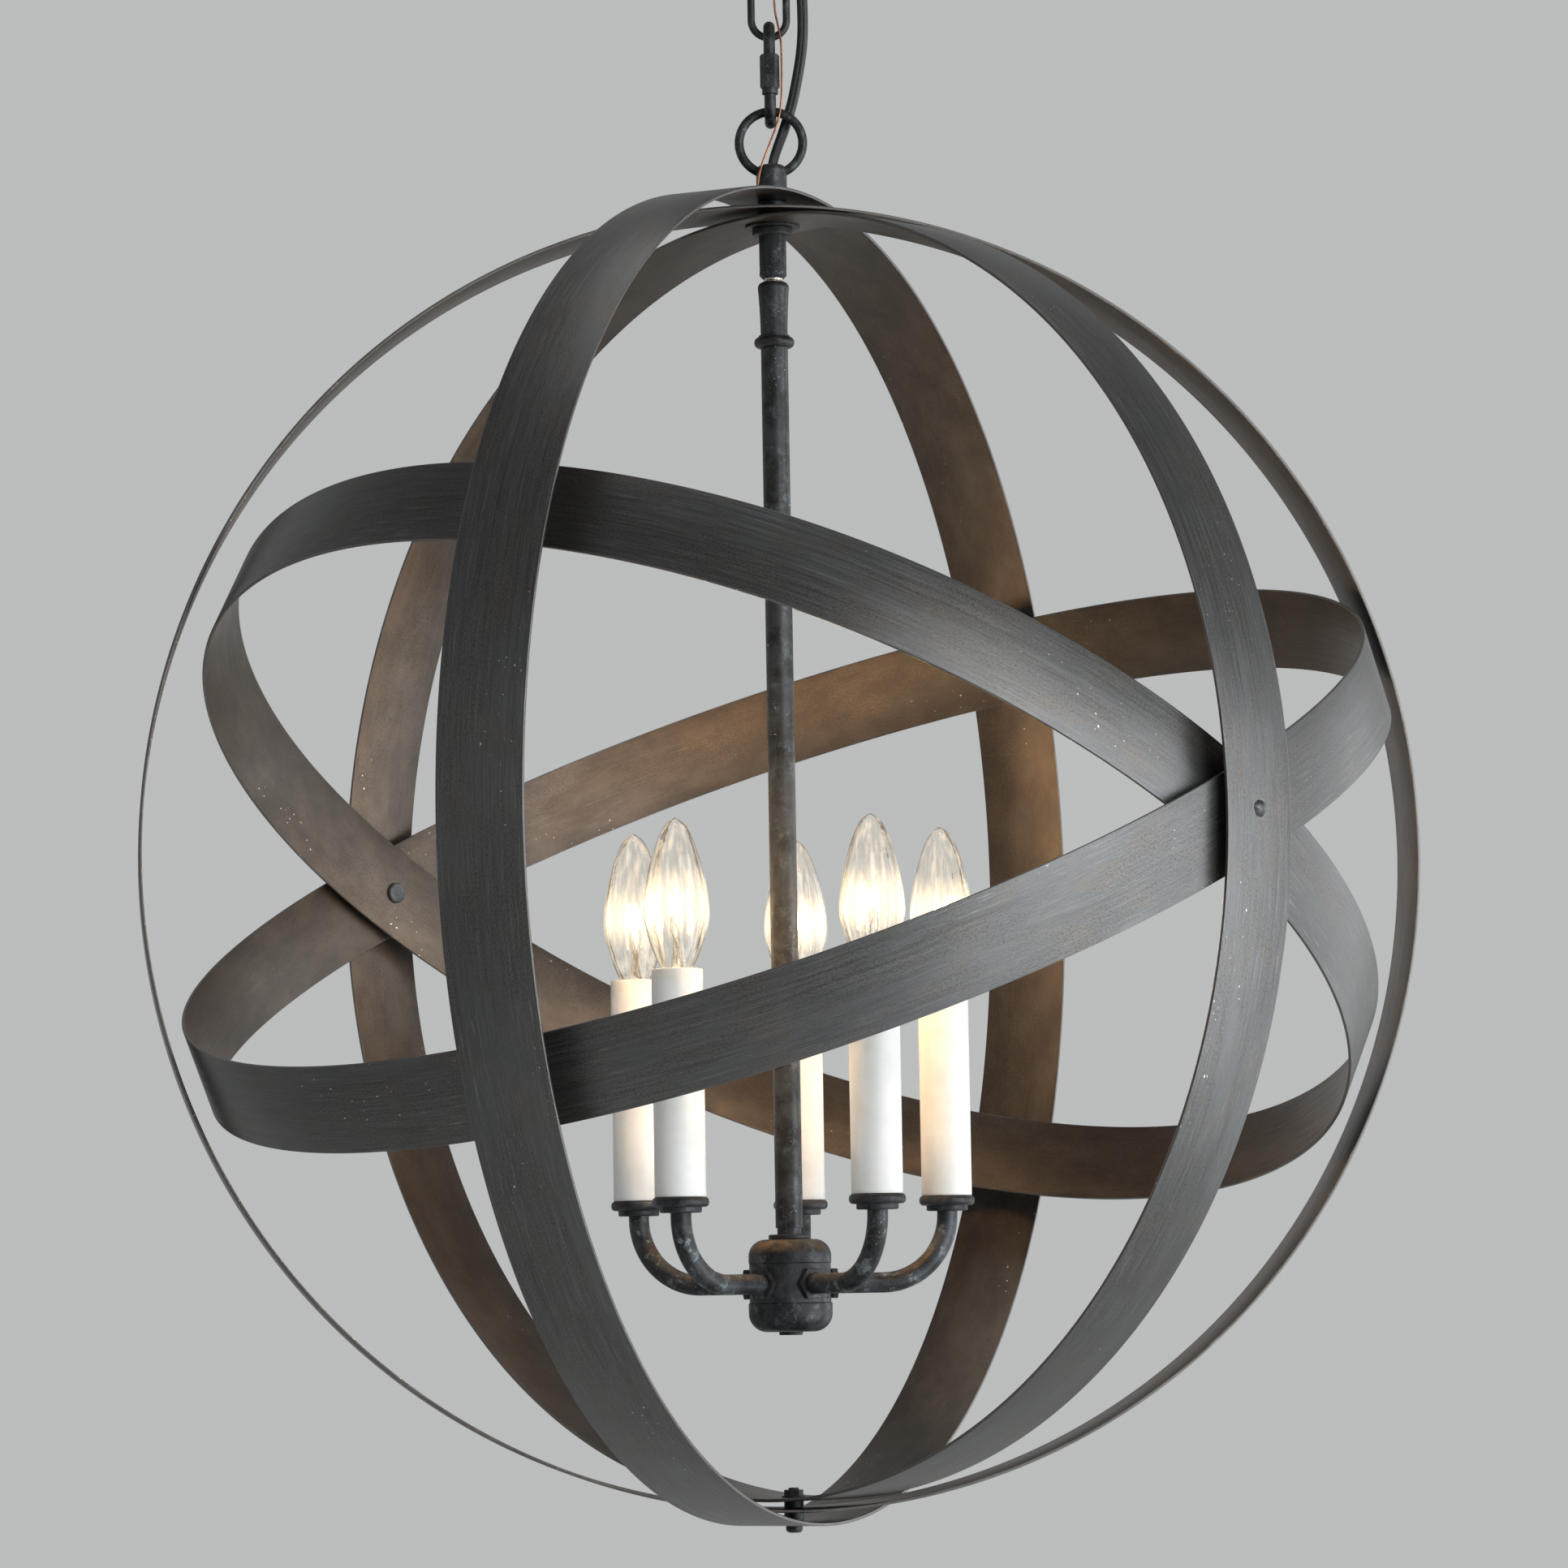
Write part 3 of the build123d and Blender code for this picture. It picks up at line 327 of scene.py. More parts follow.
def threaded(name, node, body, inputs):
    """A threaded tube of the height of the CAD's nipple, in its place."""
    low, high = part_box(node)
    inputs = {"Length": high.z - low.z, **inputs}
    nipple = by_tree(name, threaded_rod, inputs, Matrix.Translation((0, 0, low.z)))
    stand_in(nipple, node, body)


threaded_rod = threaded_rod_tree()
threaded("hanger_nipple", "canopy_nipple", "canopy", {"Metal": zinc})

made, tree, shader = new_finish("ground_green", 0.38, 0.2)
wear = grain(tree, body_place(tree), 900.0, 3.0)
paint(tree, shader, tint(tree, span(tree, wear, 0.58, 0.66), (0.03, 0.16, 0.055), (0.42, 0.4, 0.33)))
relief(tree, shader, wear, 0.00005)
eased("ground_screw", made, "canopy", 0.00025)

# ---- Canopy and upper loop -------------------------------------------
# Spun steel dish with a screw collar, and the cast loop whose shank goes through
# it. All of the fittings have the same blue-black patina, rubbed brown in places.


def patina(name, brown, pale, flecks=0.0, lift=1.0):
    """Blackened metal: how much brown rub, pale bloom and paint fleck it shows, and
    how far its black is lifted."""
    made, tree, shader = new_finish(name, 0.45, 0.45)
    place = body_place(tree)
    cloud = grain(tree, place, 85.0, 5.0, 0.6, 0.4)
    fine = grain(tree, place, 620.0, 4.0, 0.6)
    pits = grain(tree, place, 1500.0, 2.0)
    dark = [lift * part for part in (0.010, 0.011, 0.012)]
    light = [lift * part for part in (0.038, 0.042, 0.047)]
    colour = tint(tree, span(tree, cloud, 0.36, 0.66), dark, light)
    colour = tint(tree, span(tree, fine, 0.5, 0.72, 0.0, 0.6), colour, (0.062, 0.064, 0.066))
    bloom = grain(tree, stretched(tree, place, (1, 1, 1), (7, 3, 1)), 120.0, 6.0, 0.75)
    colour = tint(tree, times(tree, span(tree, bloom, 0.52, 0.66), pale), colour, (0.185, 0.215, 0.222))
    facing = add(tree, "ShaderNodeTexCoord").outputs["Normal"]
    upward = add(tree, "ShaderNodeSeparateXYZ", {0: facing}).outputs["Z"]
    rubbed = grain(tree, stretched(tree, place, (1, 1, 1), (1, 9, 4)), 120.0, 4.0, 0.65)
    rubbed = times(tree, span(tree, upward, 0.1, 0.85), span(tree, rubbed, 0.42, 0.62))
    colour = tint(tree, times(tree, rubbed, brown), colour, (0.17, 0.098, 0.042))
    if flecks:
        area = grain(tree, stretched(tree, place, (1, 1, 1), (5, 5, 5)), 60.0, 2.0)
        spots = span(tree, grain(tree, place, 950.0, 1.0), 0.7, 0.74)
        spots = times(tree, spots, span(tree, area, 0.55, 0.62))
        colour = tint(tree, times(tree, spots, flecks), colour, (0.62, 0.62, 0.58))
    paint(tree, shader, colour, span(tree, fine, 0.3, 0.75, 0.3, 0.62))
    height = sums(tree, "ADD", times(tree, cloud, 2.0), times(tree, pits, 0.5))
    relief(tree, shader, height, 0.00012)
    return made


fitting = patina("patina_fitting", 0.3, 0.2, lift=0.6)
eased("canopy", fitting, "canopy", 0.0003)
eased("canopy_collar", fitting, "canopy", 0.0003, 50.0)
eased("canopy_loop", fitting, "canopy", 0.0007, 40.0)

# ---- Chain -----------------------------------------------------------
# One welded oval link, and a quick link of bent rod whose front leg is open and
# bridged by a hexagon sleeve on a thread.

eased("chain_link", fitting, "chain_link", 0.0002)
eased("quick_link", fitting, "quick_link", 0.0003)
sleeve_finish = patina("patina_sleeve", 0.1, 0.1, lift=0.7)
eased("quick_link_sleeve", sleeve_finish, "quick_link_sleeve", 0.0002)

# ---- Supply cord -----------------------------------------------------
# Flat black twin cord in three stretches that meet end to end, one across each
# joint of the chain, from inside the boss up into the canopy's loop.

RING_CENTRE = Vector((0, 0, -0.14545))  # of the ring on top of the orb
CORD_WIDTH = 0.0052
CORD_CORE = 0.00185  # radius of each core's round side
CORD_ROUTES = {
    "lower": [
        (-0.3, 0.2, -17.4),
        (0.5, 1.1, -10.1),
        (2.6, 3.2, -2.9),
        (6.2, 5.6, 6.6),
        (9.3, 5.9, 16.1),
        (11.4, 5.08, 23.3),
        (13.0, 4.2, 31.1),
    ],
    "middle": [
        (13.0, 4.2, 31.1),
        (14.6, 3.32, 38.9),
        (16.0, 2.2, 49.1),
        (16.46, 1.12, 59.1),
        (16.3, 0.8, 67.1),
    ],
    "upper": [
        (16.3, 0.8, 67.1),
        (16.14, 0.48, 75.1),
        (14.4, 0.4, 84.1),
        (10.6, 0.6, 92.1),
        (5.2, 0.8, 99.3),
        (0.8, 0.7, 105.9),
        (-0.3, 0.7, 113.5),
    ],
}


def smooth_line(name, route):
    """Points along the smooth line of a route in millimetres from the ring's centre."""
    line = bpy.data.curves.new(name + "_line", "CURVE")
    line.dimensions = "3D"
    strand = line.splines.new("NURBS")
    strand.points.add(len(route) - 1)
    for point, where in zip(strand.points, route):
        point.co = (*(RING_CENTRE + Vector(where) * 0.001), 1)
    strand.order_u = 3
    strand.use_endpoint_u = True
    strand.resolution_u = 10
    holder = in_scene(name + "_line", line)
    mesh = bpy.data.meshes.new_from_object(holder)
    points = [v.co.copy() for v in mesh.vertices]
    bpy.data.objects.remove(holder)
    return points


def swept(name, points, outline, wide_way, finish):
    """A solid of that cross-section along points, its x held to a direction."""
    shape = bmesh.new()
    rings = []
    gone = 0.0
    place = shape.loops.layers.float_vector.new("along")
    lengths = []
    for i, point in enumerate(points):
        before, after = points[max(i - 1, 0)], points[min(i + 1, len(points) - 1)]
        run = (after - before).normalized()
        side = wide_way(point)
        side = (side - run * side.dot(run)).normalized()
        deep = run.cross(side)
        gone += (point - points[i - 1]).length if i else 0.0
        lengths.append(gone)
        rings.append([shape.verts.new(point + side * x + deep * y) for x, y in outline])
    n = len(outline)
    for i in range(len(rings) - 1):
        for j in range(n):
            k = (j + 1) % n
            face = shape.faces.new((rings[i][j], rings[i][k], rings[i + 1][k], rings[i + 1][j]))
            face.smooth = True
            corners = ((i, j), (i, j + 1), (i + 1, j + 1), (i + 1, j))
            for loop, (step, turn) in zip(face.loops, corners):
                loop[place] = Vector((lengths[step], turn / n, 0))
    shape.faces.new(rings[0][::-1])
    shape.faces.new(rings[-1])
    bmesh.ops.recalc_face_normals(shape, faces=shape.faces)
    made = as_piece(name, shape, finish)
    made.data.set_sharp_from_angle(angle=radians(60))
    return made


def hang_run(node, ending, line, section, finish):
    """One run of cord or wire along a line, in place of the CAD's. A section is an outline and the way
    that its x looks at a point."""
    run = swept(node + ending, line, *section, finish)
    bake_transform(run)
    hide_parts(node)


made, tree, shader = new_finish("cord_vinyl", 0.38, fixed={"Specular IOR Level": 0.35})
run = add(tree, "ShaderNodeAttribute", attribute_name="along").outputs["Vector"]
scuff = grain(tree, stretched(tree, run, (60, 14, 1)), 1.0, 5.0, 0.6)
dust = grain(tree, body_place(tree), 380.0, 4.0, 0.6)
colour = tint(tree, span(tree, scuff, 0.4, 0.7), (0.009, 0.009, 0.01), (0.022, 0.023, 0.025))
colour = tint(tree, span(tree, dust, 0.56, 0.75, 0.0, 0.2), colour, (0.09, 0.09, 0.088))
paint(tree, shader, colour, span(tree, scuff, 0.3, 0.7, 0.32, 0.52))
relief(tree, shader, sums(tree, "ADD", scuff, dust), 0.00006)
vinyl = made


def twin_outline():
    """Outline of two round cores side by side with a groove between them."""
    steps = 40
    offset = CORD_WIDTH / 2 - CORD_CORE
    points = []
    for i in range(steps):
        a = 2 * pi * i / steps
        reach = offset * abs(cos(a)) + sqrt(CORD_CORE**2 - (offset * sin(a)) ** 2)
        points.append((reach * cos(a), reach * sin(a)))
    return points


def cord_side(point):
    """The cord shows its wide side above, and turns edge on towards the boss."""
    share = min(max((point.z - RING_CENTRE.z + 0.008) / 0.03, 0), 1)
    turn = radians(52) * (1 - share * share * (3 - 2 * share))
    return Vector((cos(turn), sin(turn), 0))


for part, route in CORD_ROUTES.items():
    node = "supply_cord_" + part
    line = smooth_line("supply_" + part, route)
    section = (twin_outline(), cord_side)
    hang_run(node, "_twin", line, section, vinyl)

# ---- Ground wire -----------------------------------------------------
# Bare copper wire in front of the chain, a little kinked where it was drawn by
# hand from link to link. It is in three stretches as the cord is.

WIRE_WIDTH = 0.001
WIRE_ROUTES = {
    "lower": [
        (-6.9, -5.2, -24.9),
        (-6.4, -6.4, -18.4),
        (-4.6, -7.1, -11.9),
        (-2.2, -6.6, -5.7),
        (0.4, -5.9, 1.1),
        (3.3, -6.3, 8.1),
        (5.1, -7.5, 16.1),
        (5.7, -8.5, 24.1),
        (5.8, -8.4, 32.1),
    ],
    "middle": [
        (5.8, -8.4, 32.1),
        (5.9, -8.3, 40.1),
        (5.7, -7.6, 48.3),
        (4.4, -6.0, 56.6),
        (3.0, -4.4, 62.9),
        (2.8, -4.0, 68.1),
    ],
    "upper": [
        (2.8, -4.0, 68.1),
        (2.6, -3.6, 73.3),
        (3.2, -3.7, 81.5),
        (3.6, -3.5, 88.5),
        (3.0, -3.2, 95.5),
        (1.7, -2.9, 101.8),
        (0.9, -2.8, 107.8),
        (0.8, -2.7, 114.1),
    ],
}


def ringed(radius, steps):
    """Outline of a circle."""
    return [(radius * cos(2 * pi * i / steps), radius * sin(2 * pi * i / steps)) for i in range(steps)]


def to_the_right(point):
    """The same way everywhere, for a round wire that has no wide side."""
    return Vector((1, 0, 0))


made, tree, shader = new_finish("bare_copper", 0.38, 0.85)
tarnish = grain(tree, body_place(tree), 260.0, 4.0, 0.6)
drawn = grain(tree, stretched(tree, body_place(tree), (2600, 2600, 120)), 1.0, 2.0)
colour = tint(tree, span(tree, tarnish, 0.42, 0.68), (0.38, 0.155, 0.08), (0.19, 0.075, 0.04))
paint(tree, shader, colour, span(tree, tarnish, 0.3, 0.7, 0.32, 0.5))
relief(tree, shader, drawn, 0.00001)
copper = made

for part, route in WIRE_ROUTES.items():
    node = "ground_wire_" + part
    line = smooth_line("ground_" + part, route)
    section = (ringed(WIRE_WIDTH / 2, 16), to_the_right)
    hang_run(node, "_bare", line, section, copper)

# ---- Loop boss -------------------------------------------------------
# Cast ring on a turned boss with a bead and a flange, screwed on the nipple that
# comes up through the hoops.

boss_finish = patina("patina_boss", 0.35, 0.25, lift=0.6)
eased("loop_boss", boss_finish, "orb", 0.0007, 40.0)

# ---- Hoops -----------------------------------------------------------
# Five hoops of flat steel strap, bent to a near circle and butt-welded: three
# upright ones nested on the same two poles, and two leaning ones on the rivets.
# They are blackened, brushed along the strap and rubbed lighter on the corners.

ORB_CENTRE = Vector((0, 0, -0.49035))
STRAP_WIDTH = 0.042
STRAP_THICKNESS = 0.0016
RIVET_HEADING = -46.0
NIPPLE_HOLE = 0.00996  # in the hoops that turn about the poles
PIN_HOLE = 0.00516  # where a hoop moves on a screw or a rivet
# name: body, heading, lean or None if upright, half sizes to the strap's middle
# across and up, and the top, bottom and rivet holes.
HOOPS = {
    "hoop_outer": ("hoop_outer", 66.0, None, 0.3167, 0.3167, NIPPLE_HOLE, PIN_HOLE, 0.0),
    "hoop_middle": ("hoop_middle", 7.0, None, 0.3050, 0.3101, NIPPLE_HOLE, PIN_HOLE, 0.0),
    "hoop_inner": ("orb", RIVET_HEADING, None, 0.3010, 0.3051, 0.0098, 0.005, 0.005),
    "tilt_hoop_outer": ("tilt_hoop_outer", RIVET_HEADING, -24.8, 0.2944, 0.2955, 0.0, 0.0, PIN_HOLE),
    "tilt_hoop_inner": ("tilt_hoop_inner", RIVET_HEADING, 30.0, 0.2878, 0.2910, 0.0, 0.0, PIN_HOLE),
}


def strap_hoop_tree():
    """Strap with rounded corners bent to an oval in the XY plane, and drilled."""
    sizes = {
        "Half across": 0.3,
        "Half up": 0.3,
        "Strap width": STRAP_WIDTH,
        "Strap thickness": STRAP_THICKNESS,
        "Corner round": 0.0004,
        "Top hole": 0.0,
        "Bottom hole": 0.0,
        "Rivet hole": 0.0,
        "Steps": 360,
    }
    tree, given = mesh_tree("strap_hoop", sizes, "Steel")
    across, up = given["Half across"], given["Half up"]
    circle = first(tree, "GeometryNodeCurvePrimitiveCircle", {"Resolution": given["Steps"], "Radius": 1.0})
    oval = moved(tree, circle, Scale=first(tree, "ShaderNodeCombineXYZ", {0: across, 1: up, 2: 1.0}))
    oval = first(tree, "GeometryNodeSetCurveNormal", {"Curve": oval}, mode="Z_UP")
    sides = {"Width": given["Strap thickness"], "Height": given["Strap width"]}
    bar = first(tree, "GeometryNodeCurvePrimitiveQuadrilateral", sides)
    corners = {"Curve": bar, "Radius": given["Corner round"], "Count": 3}
    bar = first(tree, "GeometryNodeFilletCurve", corners, mode="POLY")
    strap = drawn_along(tree, oval, bar)
    drills = add(tree, "GeometryNodeJoinGeometry")
    for hole, turn, x, y in (
        ("Top hole", (pi / 2, 0, 0), 0, 1),
        ("Bottom hole", (pi / 2, 0, 0), 0, -1),
        ("Rivet hole", (0, pi / 2, 0), 1, 0),
        ("Rivet hole", (0, pi / 2, 0), -1, 0),
    ):
        size = {"Vertices": 32, "Radius": times(tree, given[hole], 0.5), "Depth": 0.02}
        bit = first(tree, "GeometryNodeMeshCylinder", size)
        where = first(tree, "ShaderNodeCombineXYZ", {0: times(tree, across, x), 1: times(tree, up, y)})
        put = moved(tree, bit, Rotation=turn, Translation=where)
        wanted = first(tree, "FunctionNodeCompare", {0: given[hole], 1: 0.0001}, operation="GREATER_THAN")
        chosen = first(tree, "GeometryNodeSwitch", {"Switch": wanted, "True": put}, input_type="GEOMETRY")
        tree.links.new(chosen, drills.inputs[0])
    cut = {"Mesh 1": strap, "Mesh 2": drills.outputs[0]}
    drilled = first(tree, "GeometryNodeMeshBoolean", cut, operation="DIFFERENCE", solver="EXACT")
    return close_tree(tree, drilled, given["Steel"])


def hoop_place(azimuth, lean):
    """From the hoop's own plane, x along its heading, to where it hangs."""
    a = radians(azimuth)
    x = Vector((cos(a), sin(a), 0))
    if lean is None:
        z = Vector((sin(a), -cos(a), 0))
    else:
        t = radians(lean)
        z = Vector((-sin(a) * sin(t), cos(a) * sin(t), cos(t)))
    y = z.cross(x)
    return Matrix.Translation(ORB_CENTRE) @ Matrix((x, y, z)).transposed().to_4x4()


def mark_strap(mesh, half_across, half_up, seam):
    """Store how far along and across the strap each corner lies, and on which side:
    0 outside, 1 inside. Lengths are in metres; the weld is at the seam's angle."""
    radius = (half_across + half_up) / 2
    spots = mesh.attributes.new("strap", "FLOAT_VECTOR", "CORNER")
    values = [0.0] * (3 * len(mesh.loops))
    for face in mesh.polygons:
        x, y = face.center.x / half_across, face.center.y / half_up
        middle = (atan2(y, x) - seam) % (2 * pi)
        outward = Vector((x, y, 0)).normalized().dot(face.normal)
        side = 0.0 if outward > 0.3 else 1.0 if outward < -0.3 else 0.5
        for i in face.loop_indices:
            at = mesh.vertices[mesh.loops[i].vertex_index].co
            angle = (atan2(at.y / half_up, at.x / half_across) - seam) % (2 * pi)
            if angle - middle > pi:
                angle -= 2 * pi
            elif middle - angle > pi:
                angle += 2 * pi
            values[3 * i : 3 * i + 3] = (angle * radius, at.z, side)
    spots.data.foreach_set("vector", values)


def strap_steel(name, shift, rivets):
    """Blackened steel brushed along the strap, browner inside, where the brown is painted warm light from
    the bulbs, with scuffed streaks, pale scratches, stray paint specks, corners rubbed to bare metal, and
    a rubbed ring round each rivet. Rivets are given by how far along the strap they sit."""
    made, tree, shader = new_finish(name, 0.42, 0.85)
    place = add(tree, "ShaderNodeAttribute", attribute_name="strap").outputs["Vector"]
    parts = add(tree, "ShaderNodeSeparateXYZ", {0: place}).outputs
    inner = span(tree, parts["Z"], 0.4, 0.6)

    def marks(scale, start, detail, roughness=0.55, distortion=0.0):
        """Noise that is stretched along the strap, and starts elsewhere on each hoop."""
        where = stretched(tree, place, scale, (shift, start, 0))
        return grain(tree, where, 1.0, detail, roughness, distortion)

    streak = marks((9, 560, 3), 0, 6.0, 0.72, 0.25)
    hair = marks((30, 2600, 3), 5, 3.0, 0.6)
    patch = marks((9, 34, 5), 9, 4.0, 0.6, 0.5)
    cloud = marks((36, 60, 5), 2, 5.0, 0.65)
    brushed = marks((130, 700, 3), 7, 5.0, 0.7)
    pepper = span(tree, marks((800, 1300, 3), 31, 3.0, 0.7), 0.45, 0.62)
    pepper = times(tree, pepper, span(tree, patch, 0.62, 0.40, 0.2, 0.75))
    stains = span(tree, marks((11, 110, 3), 23, 6.0, 0.75, 0.5), 0.55, 0.68)
    broad = span(tree, marks((3.2, 8, 3), 29, 2.0), 0.38, 0.62, 0.0, 0.35)

    outside = tint(tree, span(tree, streak, 0.28, 0.74), (0.078, 0.079, 0.077), (0.118, 0.119, 0.117))
    outside = tint(tree, span(tree, patch, 0.42, 0.66, 0.0, 0.7), outside, (0.098, 0.104, 0.109))
    outside = tint(tree, span(tree, cloud, 0.46, 0.68, 0.0, 0.7), outside, (0.118, 0.102, 0.085))
    outside = tint(tree, span(tree, brushed, 0.5, 0.75, 0.0, 0.5), outside, (0.148, 0.150, 0.150))
    outside = tint(tree, times(tree, stains, 0.24), outside, (0.026, 0.026, 0.026))
    outside = tint(tree, broad, outside, (0.056, 0.056, 0.055))
    outside = tint(tree, pepper, outside, (0.050, 0.046, 0.042))
    outside = tint(tree, span(tree, hair, 0.50, 0.68, 0.0, 0.5), outside, (0.165, 0.167, 0.166))

    # The inside face's brown tone is painted warm light from the bulbs, over its streaks and specks.
    inside = tint(tree, span(tree, cloud, 0.34, 0.70), (0.060, 0.050, 0.042), (0.094, 0.078, 0.064))
    inside = tint(tree, span(tree, streak, 0.4, 0.72, 0.0, 0.45), inside, (0.080, 0.074, 0.068))
    inside = tint(tree, span(tree, brushed, 0.5, 0.75, 0.0, 0.4), inside, (0.108, 0.092, 0.078))
    inside = tint(tree, times(tree, pepper, 0.7), inside, (0.034, 0.027, 0.021))
    colour = tint(tree, inner, outside, inside)

    scuffs = span(tree, marks((30, 900, 3), 11, 4.0, 0.75), 0.56, 0.72)
    scuffs = times(tree, scuffs, span(tree, marks((6, 22, 2), 13, 2.0), 0.5, 0.62))
    scuffs = times(tree, scuffs, span(tree, parts["Z"], 0.4, 0.6, 0.7, 0.25))
    colour = tint(tree, scuffs, colour, (0.24, 0.245, 0.24))
    specks = span(tree, marks((420, 620, 3), 17, 1.0), 0.72, 0.77)
    specks = times(tree, specks, span(tree, marks((7, 30, 2), 19, 2.0), 0.56, 0.66))
    colour = tint(tree, specks, colour, (0.60, 0.60, 0.57))
    from_middle = first(tree, "ShaderNodeMath", {0: parts["Y"]}, operation="ABSOLUTE")
    ragged = grain(tree, stretched(tree, place, (40, 60, 3)), 1.0, 4.0, 0.7)
    from_middle = sums(tree, "ADD", from_middle, times(tree, ragged, 0.0012))
    near_edge = span(tree, from_middle, STRAP_WIDTH / 2, STRAP_WIDTH / 2 + 0.0008)
    colour = tint(tree, times(tree, near_edge, 0.38), colour, (0.22, 0.212, 0.20))
    for rivet in rivets:
        away = first(tree, "ShaderNodeVectorMath", {0: place, 1: (rivet, 0, 0)}, operation="SUBTRACT")
        away = first(tree, "ShaderNodeVectorMath", {0: away, 1: (1, 1, 0)}, operation="MULTIPLY")
        away = add(tree, "ShaderNodeVectorMath", {0: away}, operation="LENGTH").outputs["Value"]
        away = sums(tree, "ADD", away, times(tree, brushed, 0.007))
        ring = times(tree, span(tree, away, 0.0080, 0.0062), sums(tree, "SUBTRACT", 1.0, inner))
        colour = tint(tree, times(tree, ring, 0.5), colour, (0.26, 0.265, 0.26))
    rough = span(tree, streak, 0.3, 0.7, 0.28, 0.38)
    paint(tree, shader, colour, sums(tree, "ADD", rough, span(tree, hair, 0.3, 0.7, 0.0, 0.12)))
    height = sums(tree, "ADD", times(tree, streak, 0.5), times(tree, patch, 2.0))
    relief(tree, shader, sums(tree, "ADD", times(tree, hair, 0.25), height), 0.00008)
    return made


strap_hoop = strap_hoop_tree()
for number, (name, facts) in enumerate(HOOPS.items()):
    body, azimuth, lean, half_across, half_up, top, bottom, rivet = facts
    seam = -pi / 2 if lean is None else pi
    round_radius = (half_across + half_up) / 2
    # The rivets' heads lie on the inner hoop, halfway up each side.
    rubbed = (pi / 2 * round_radius, 3 * pi / 2 * round_radius) if name == "hoop_inner" else ()
    inputs = {"Half across": half_across, "Half up": half_up, "Top hole": top, "Bottom hole": bottom}
    inputs["Rivet hole"] = rivet
    inputs["Steel"] = strap_steel(name + "_steel", 3.7 * number, rubbed)
    hoop = by_tree(name + "_strap", strap_hoop, inputs)
    mark_strap(hoop.data, half_across, half_up, seam)
    hoop.data.transform(hoop_place(azimuth, lean))
    stand_in(hoop, name, body)

# ---- Rivets and spacers ----------------------------------------------
# Two steel rivets that the leaning hoops swing on, domed outside and hammered
# over inside, with a tubular spacer in each gap.

rivet_finish = patina("patina_rivet", 0.2, 0.5, lift=1.6)
eased("rivets", rivet_finish, "orb", 0.0003)
eased("rivet_spacers", fitting, "orb", 0.0002)

# ---- Poles -----------------------------------------------------------
# Top: spacers between the straps, a washer and a lock ring below them, all on the
# nipple. Bottom: a round-head screw from below, spacers and a flanged nut.

pole_finish = patina("patina_pole", 0.15, 0.25, lift=0.85)
for node in ("top_spacers", "top_washer", "top_lock_ring"):
    eased(node, pole_finish, "orb", 0.0002)
eased("bottom_screw", pole_finish, "orb", 0.0003, 50.0)
for node in ("bottom_spacers", "bottom_nut"):
    eased(node, pole_finish, "orb", 0.0002)
eased("top_nipple", zinc, "orb", 0.0001)

# ---- Coupling and swivel ---------------------------------------------
# Coupling on the nipple, grooved round its lower end, and the bright threaded
# nipple below it on which the whole candle cluster turns.

eased("coupling", patina("patina_coupling", 0.05, 0.35, 0.3), "orb", 0.0001)

made, tree, shader = new_finish("bright_thread", 0.28, 1.0)
rub = grain(tree, body_place(tree), 700.0, 4.0)
colour = tint(tree, span(tree, rub, 0.4, 0.7), (0.78, 0.74, 0.66), (0.5, 0.45, 0.37))
paint(tree, shader, colour, span(tree, rub, 0.3, 0.7, 0.2, 0.42))
sizes = {"Outside": 0.0047, "Pitch": 0.0008, "Thread": 0.00035, "Metal": made}
threaded("swivel_thread", "swivel_nipple", "cluster", sizes)

# ---- Stem ------------------------------------------------------------
# Tapered ferrule with a rolled shoulder, a bead collar, and the long plain tube
# that ends in a neck and a flat collar.

stem_finish = patina("patina_stem", 0.1, 0.3, 0.7, 1.15)
eased("ferrule", stem_finish, "cluster", 0.0002, 40.0)
eased("bead_collar", pole_finish, "cluster", 0.0002, 40.0)
eased("stem_tube", stem_finish, "cluster", 0.00009)
eased("stem_collar", pole_finish, "cluster", 0.0002, 50.0)

# ---- Cluster body ----------------------------------------------------
# Spun cap, turned hub and spun lower cup held together by a nipple and a small
# finial. The cap is rubbed brown where hands and dusters reach it.

eased("cap", patina("patina_cap", 0.95, 0.35, 0.2), "cluster", 0.0006)
eased("hub", patina("patina_hub", 0.1, 0.3, 0.2, 1.25), "cluster", 0.0006)
eased("lower_cup", patina("patina_cup", 0.2, 0.3, 0.2, 0.85), "cluster", 0.0006)
eased("finial", pole_finish, "cluster", 0.0002, 50.0)
eased("cluster_nipple", zinc, "cluster", 0.0001)

# ---- Arms ------------------------------------------------------------
# Five bent tubes, each locked to the hub by a hexagon nut and carrying a drip pan.
# They show the strongest bloom of the patina, and brown on top of the bends.

arm_finish = patina("patina_arm", 0.5, 1.0, 0.3, 1.35)
for i in range(1, 6):
    eased(f"arm_{i}", arm_finish, "cluster", 0.0002)
eased("arm_nuts", pole_finish, "cluster", 0.0003)
eased("drip_pans", patina("patina_pan", 0.25, 0.3), "cluster", 0.0002, 50.0)

# ---- Candles ---------------------------------------------------------
# Plastic sleeves, smooth satin white with a softened lip, over moulded sockets.

FIRST_HEADING = 13.8  # of the first candle, in degrees round the stem
CANDLE_REACH = 0.0778  # from the stem's middle to each candle's
SLEEVE_RADIUS = 0.012
SLEEVE_WALL = 0.001


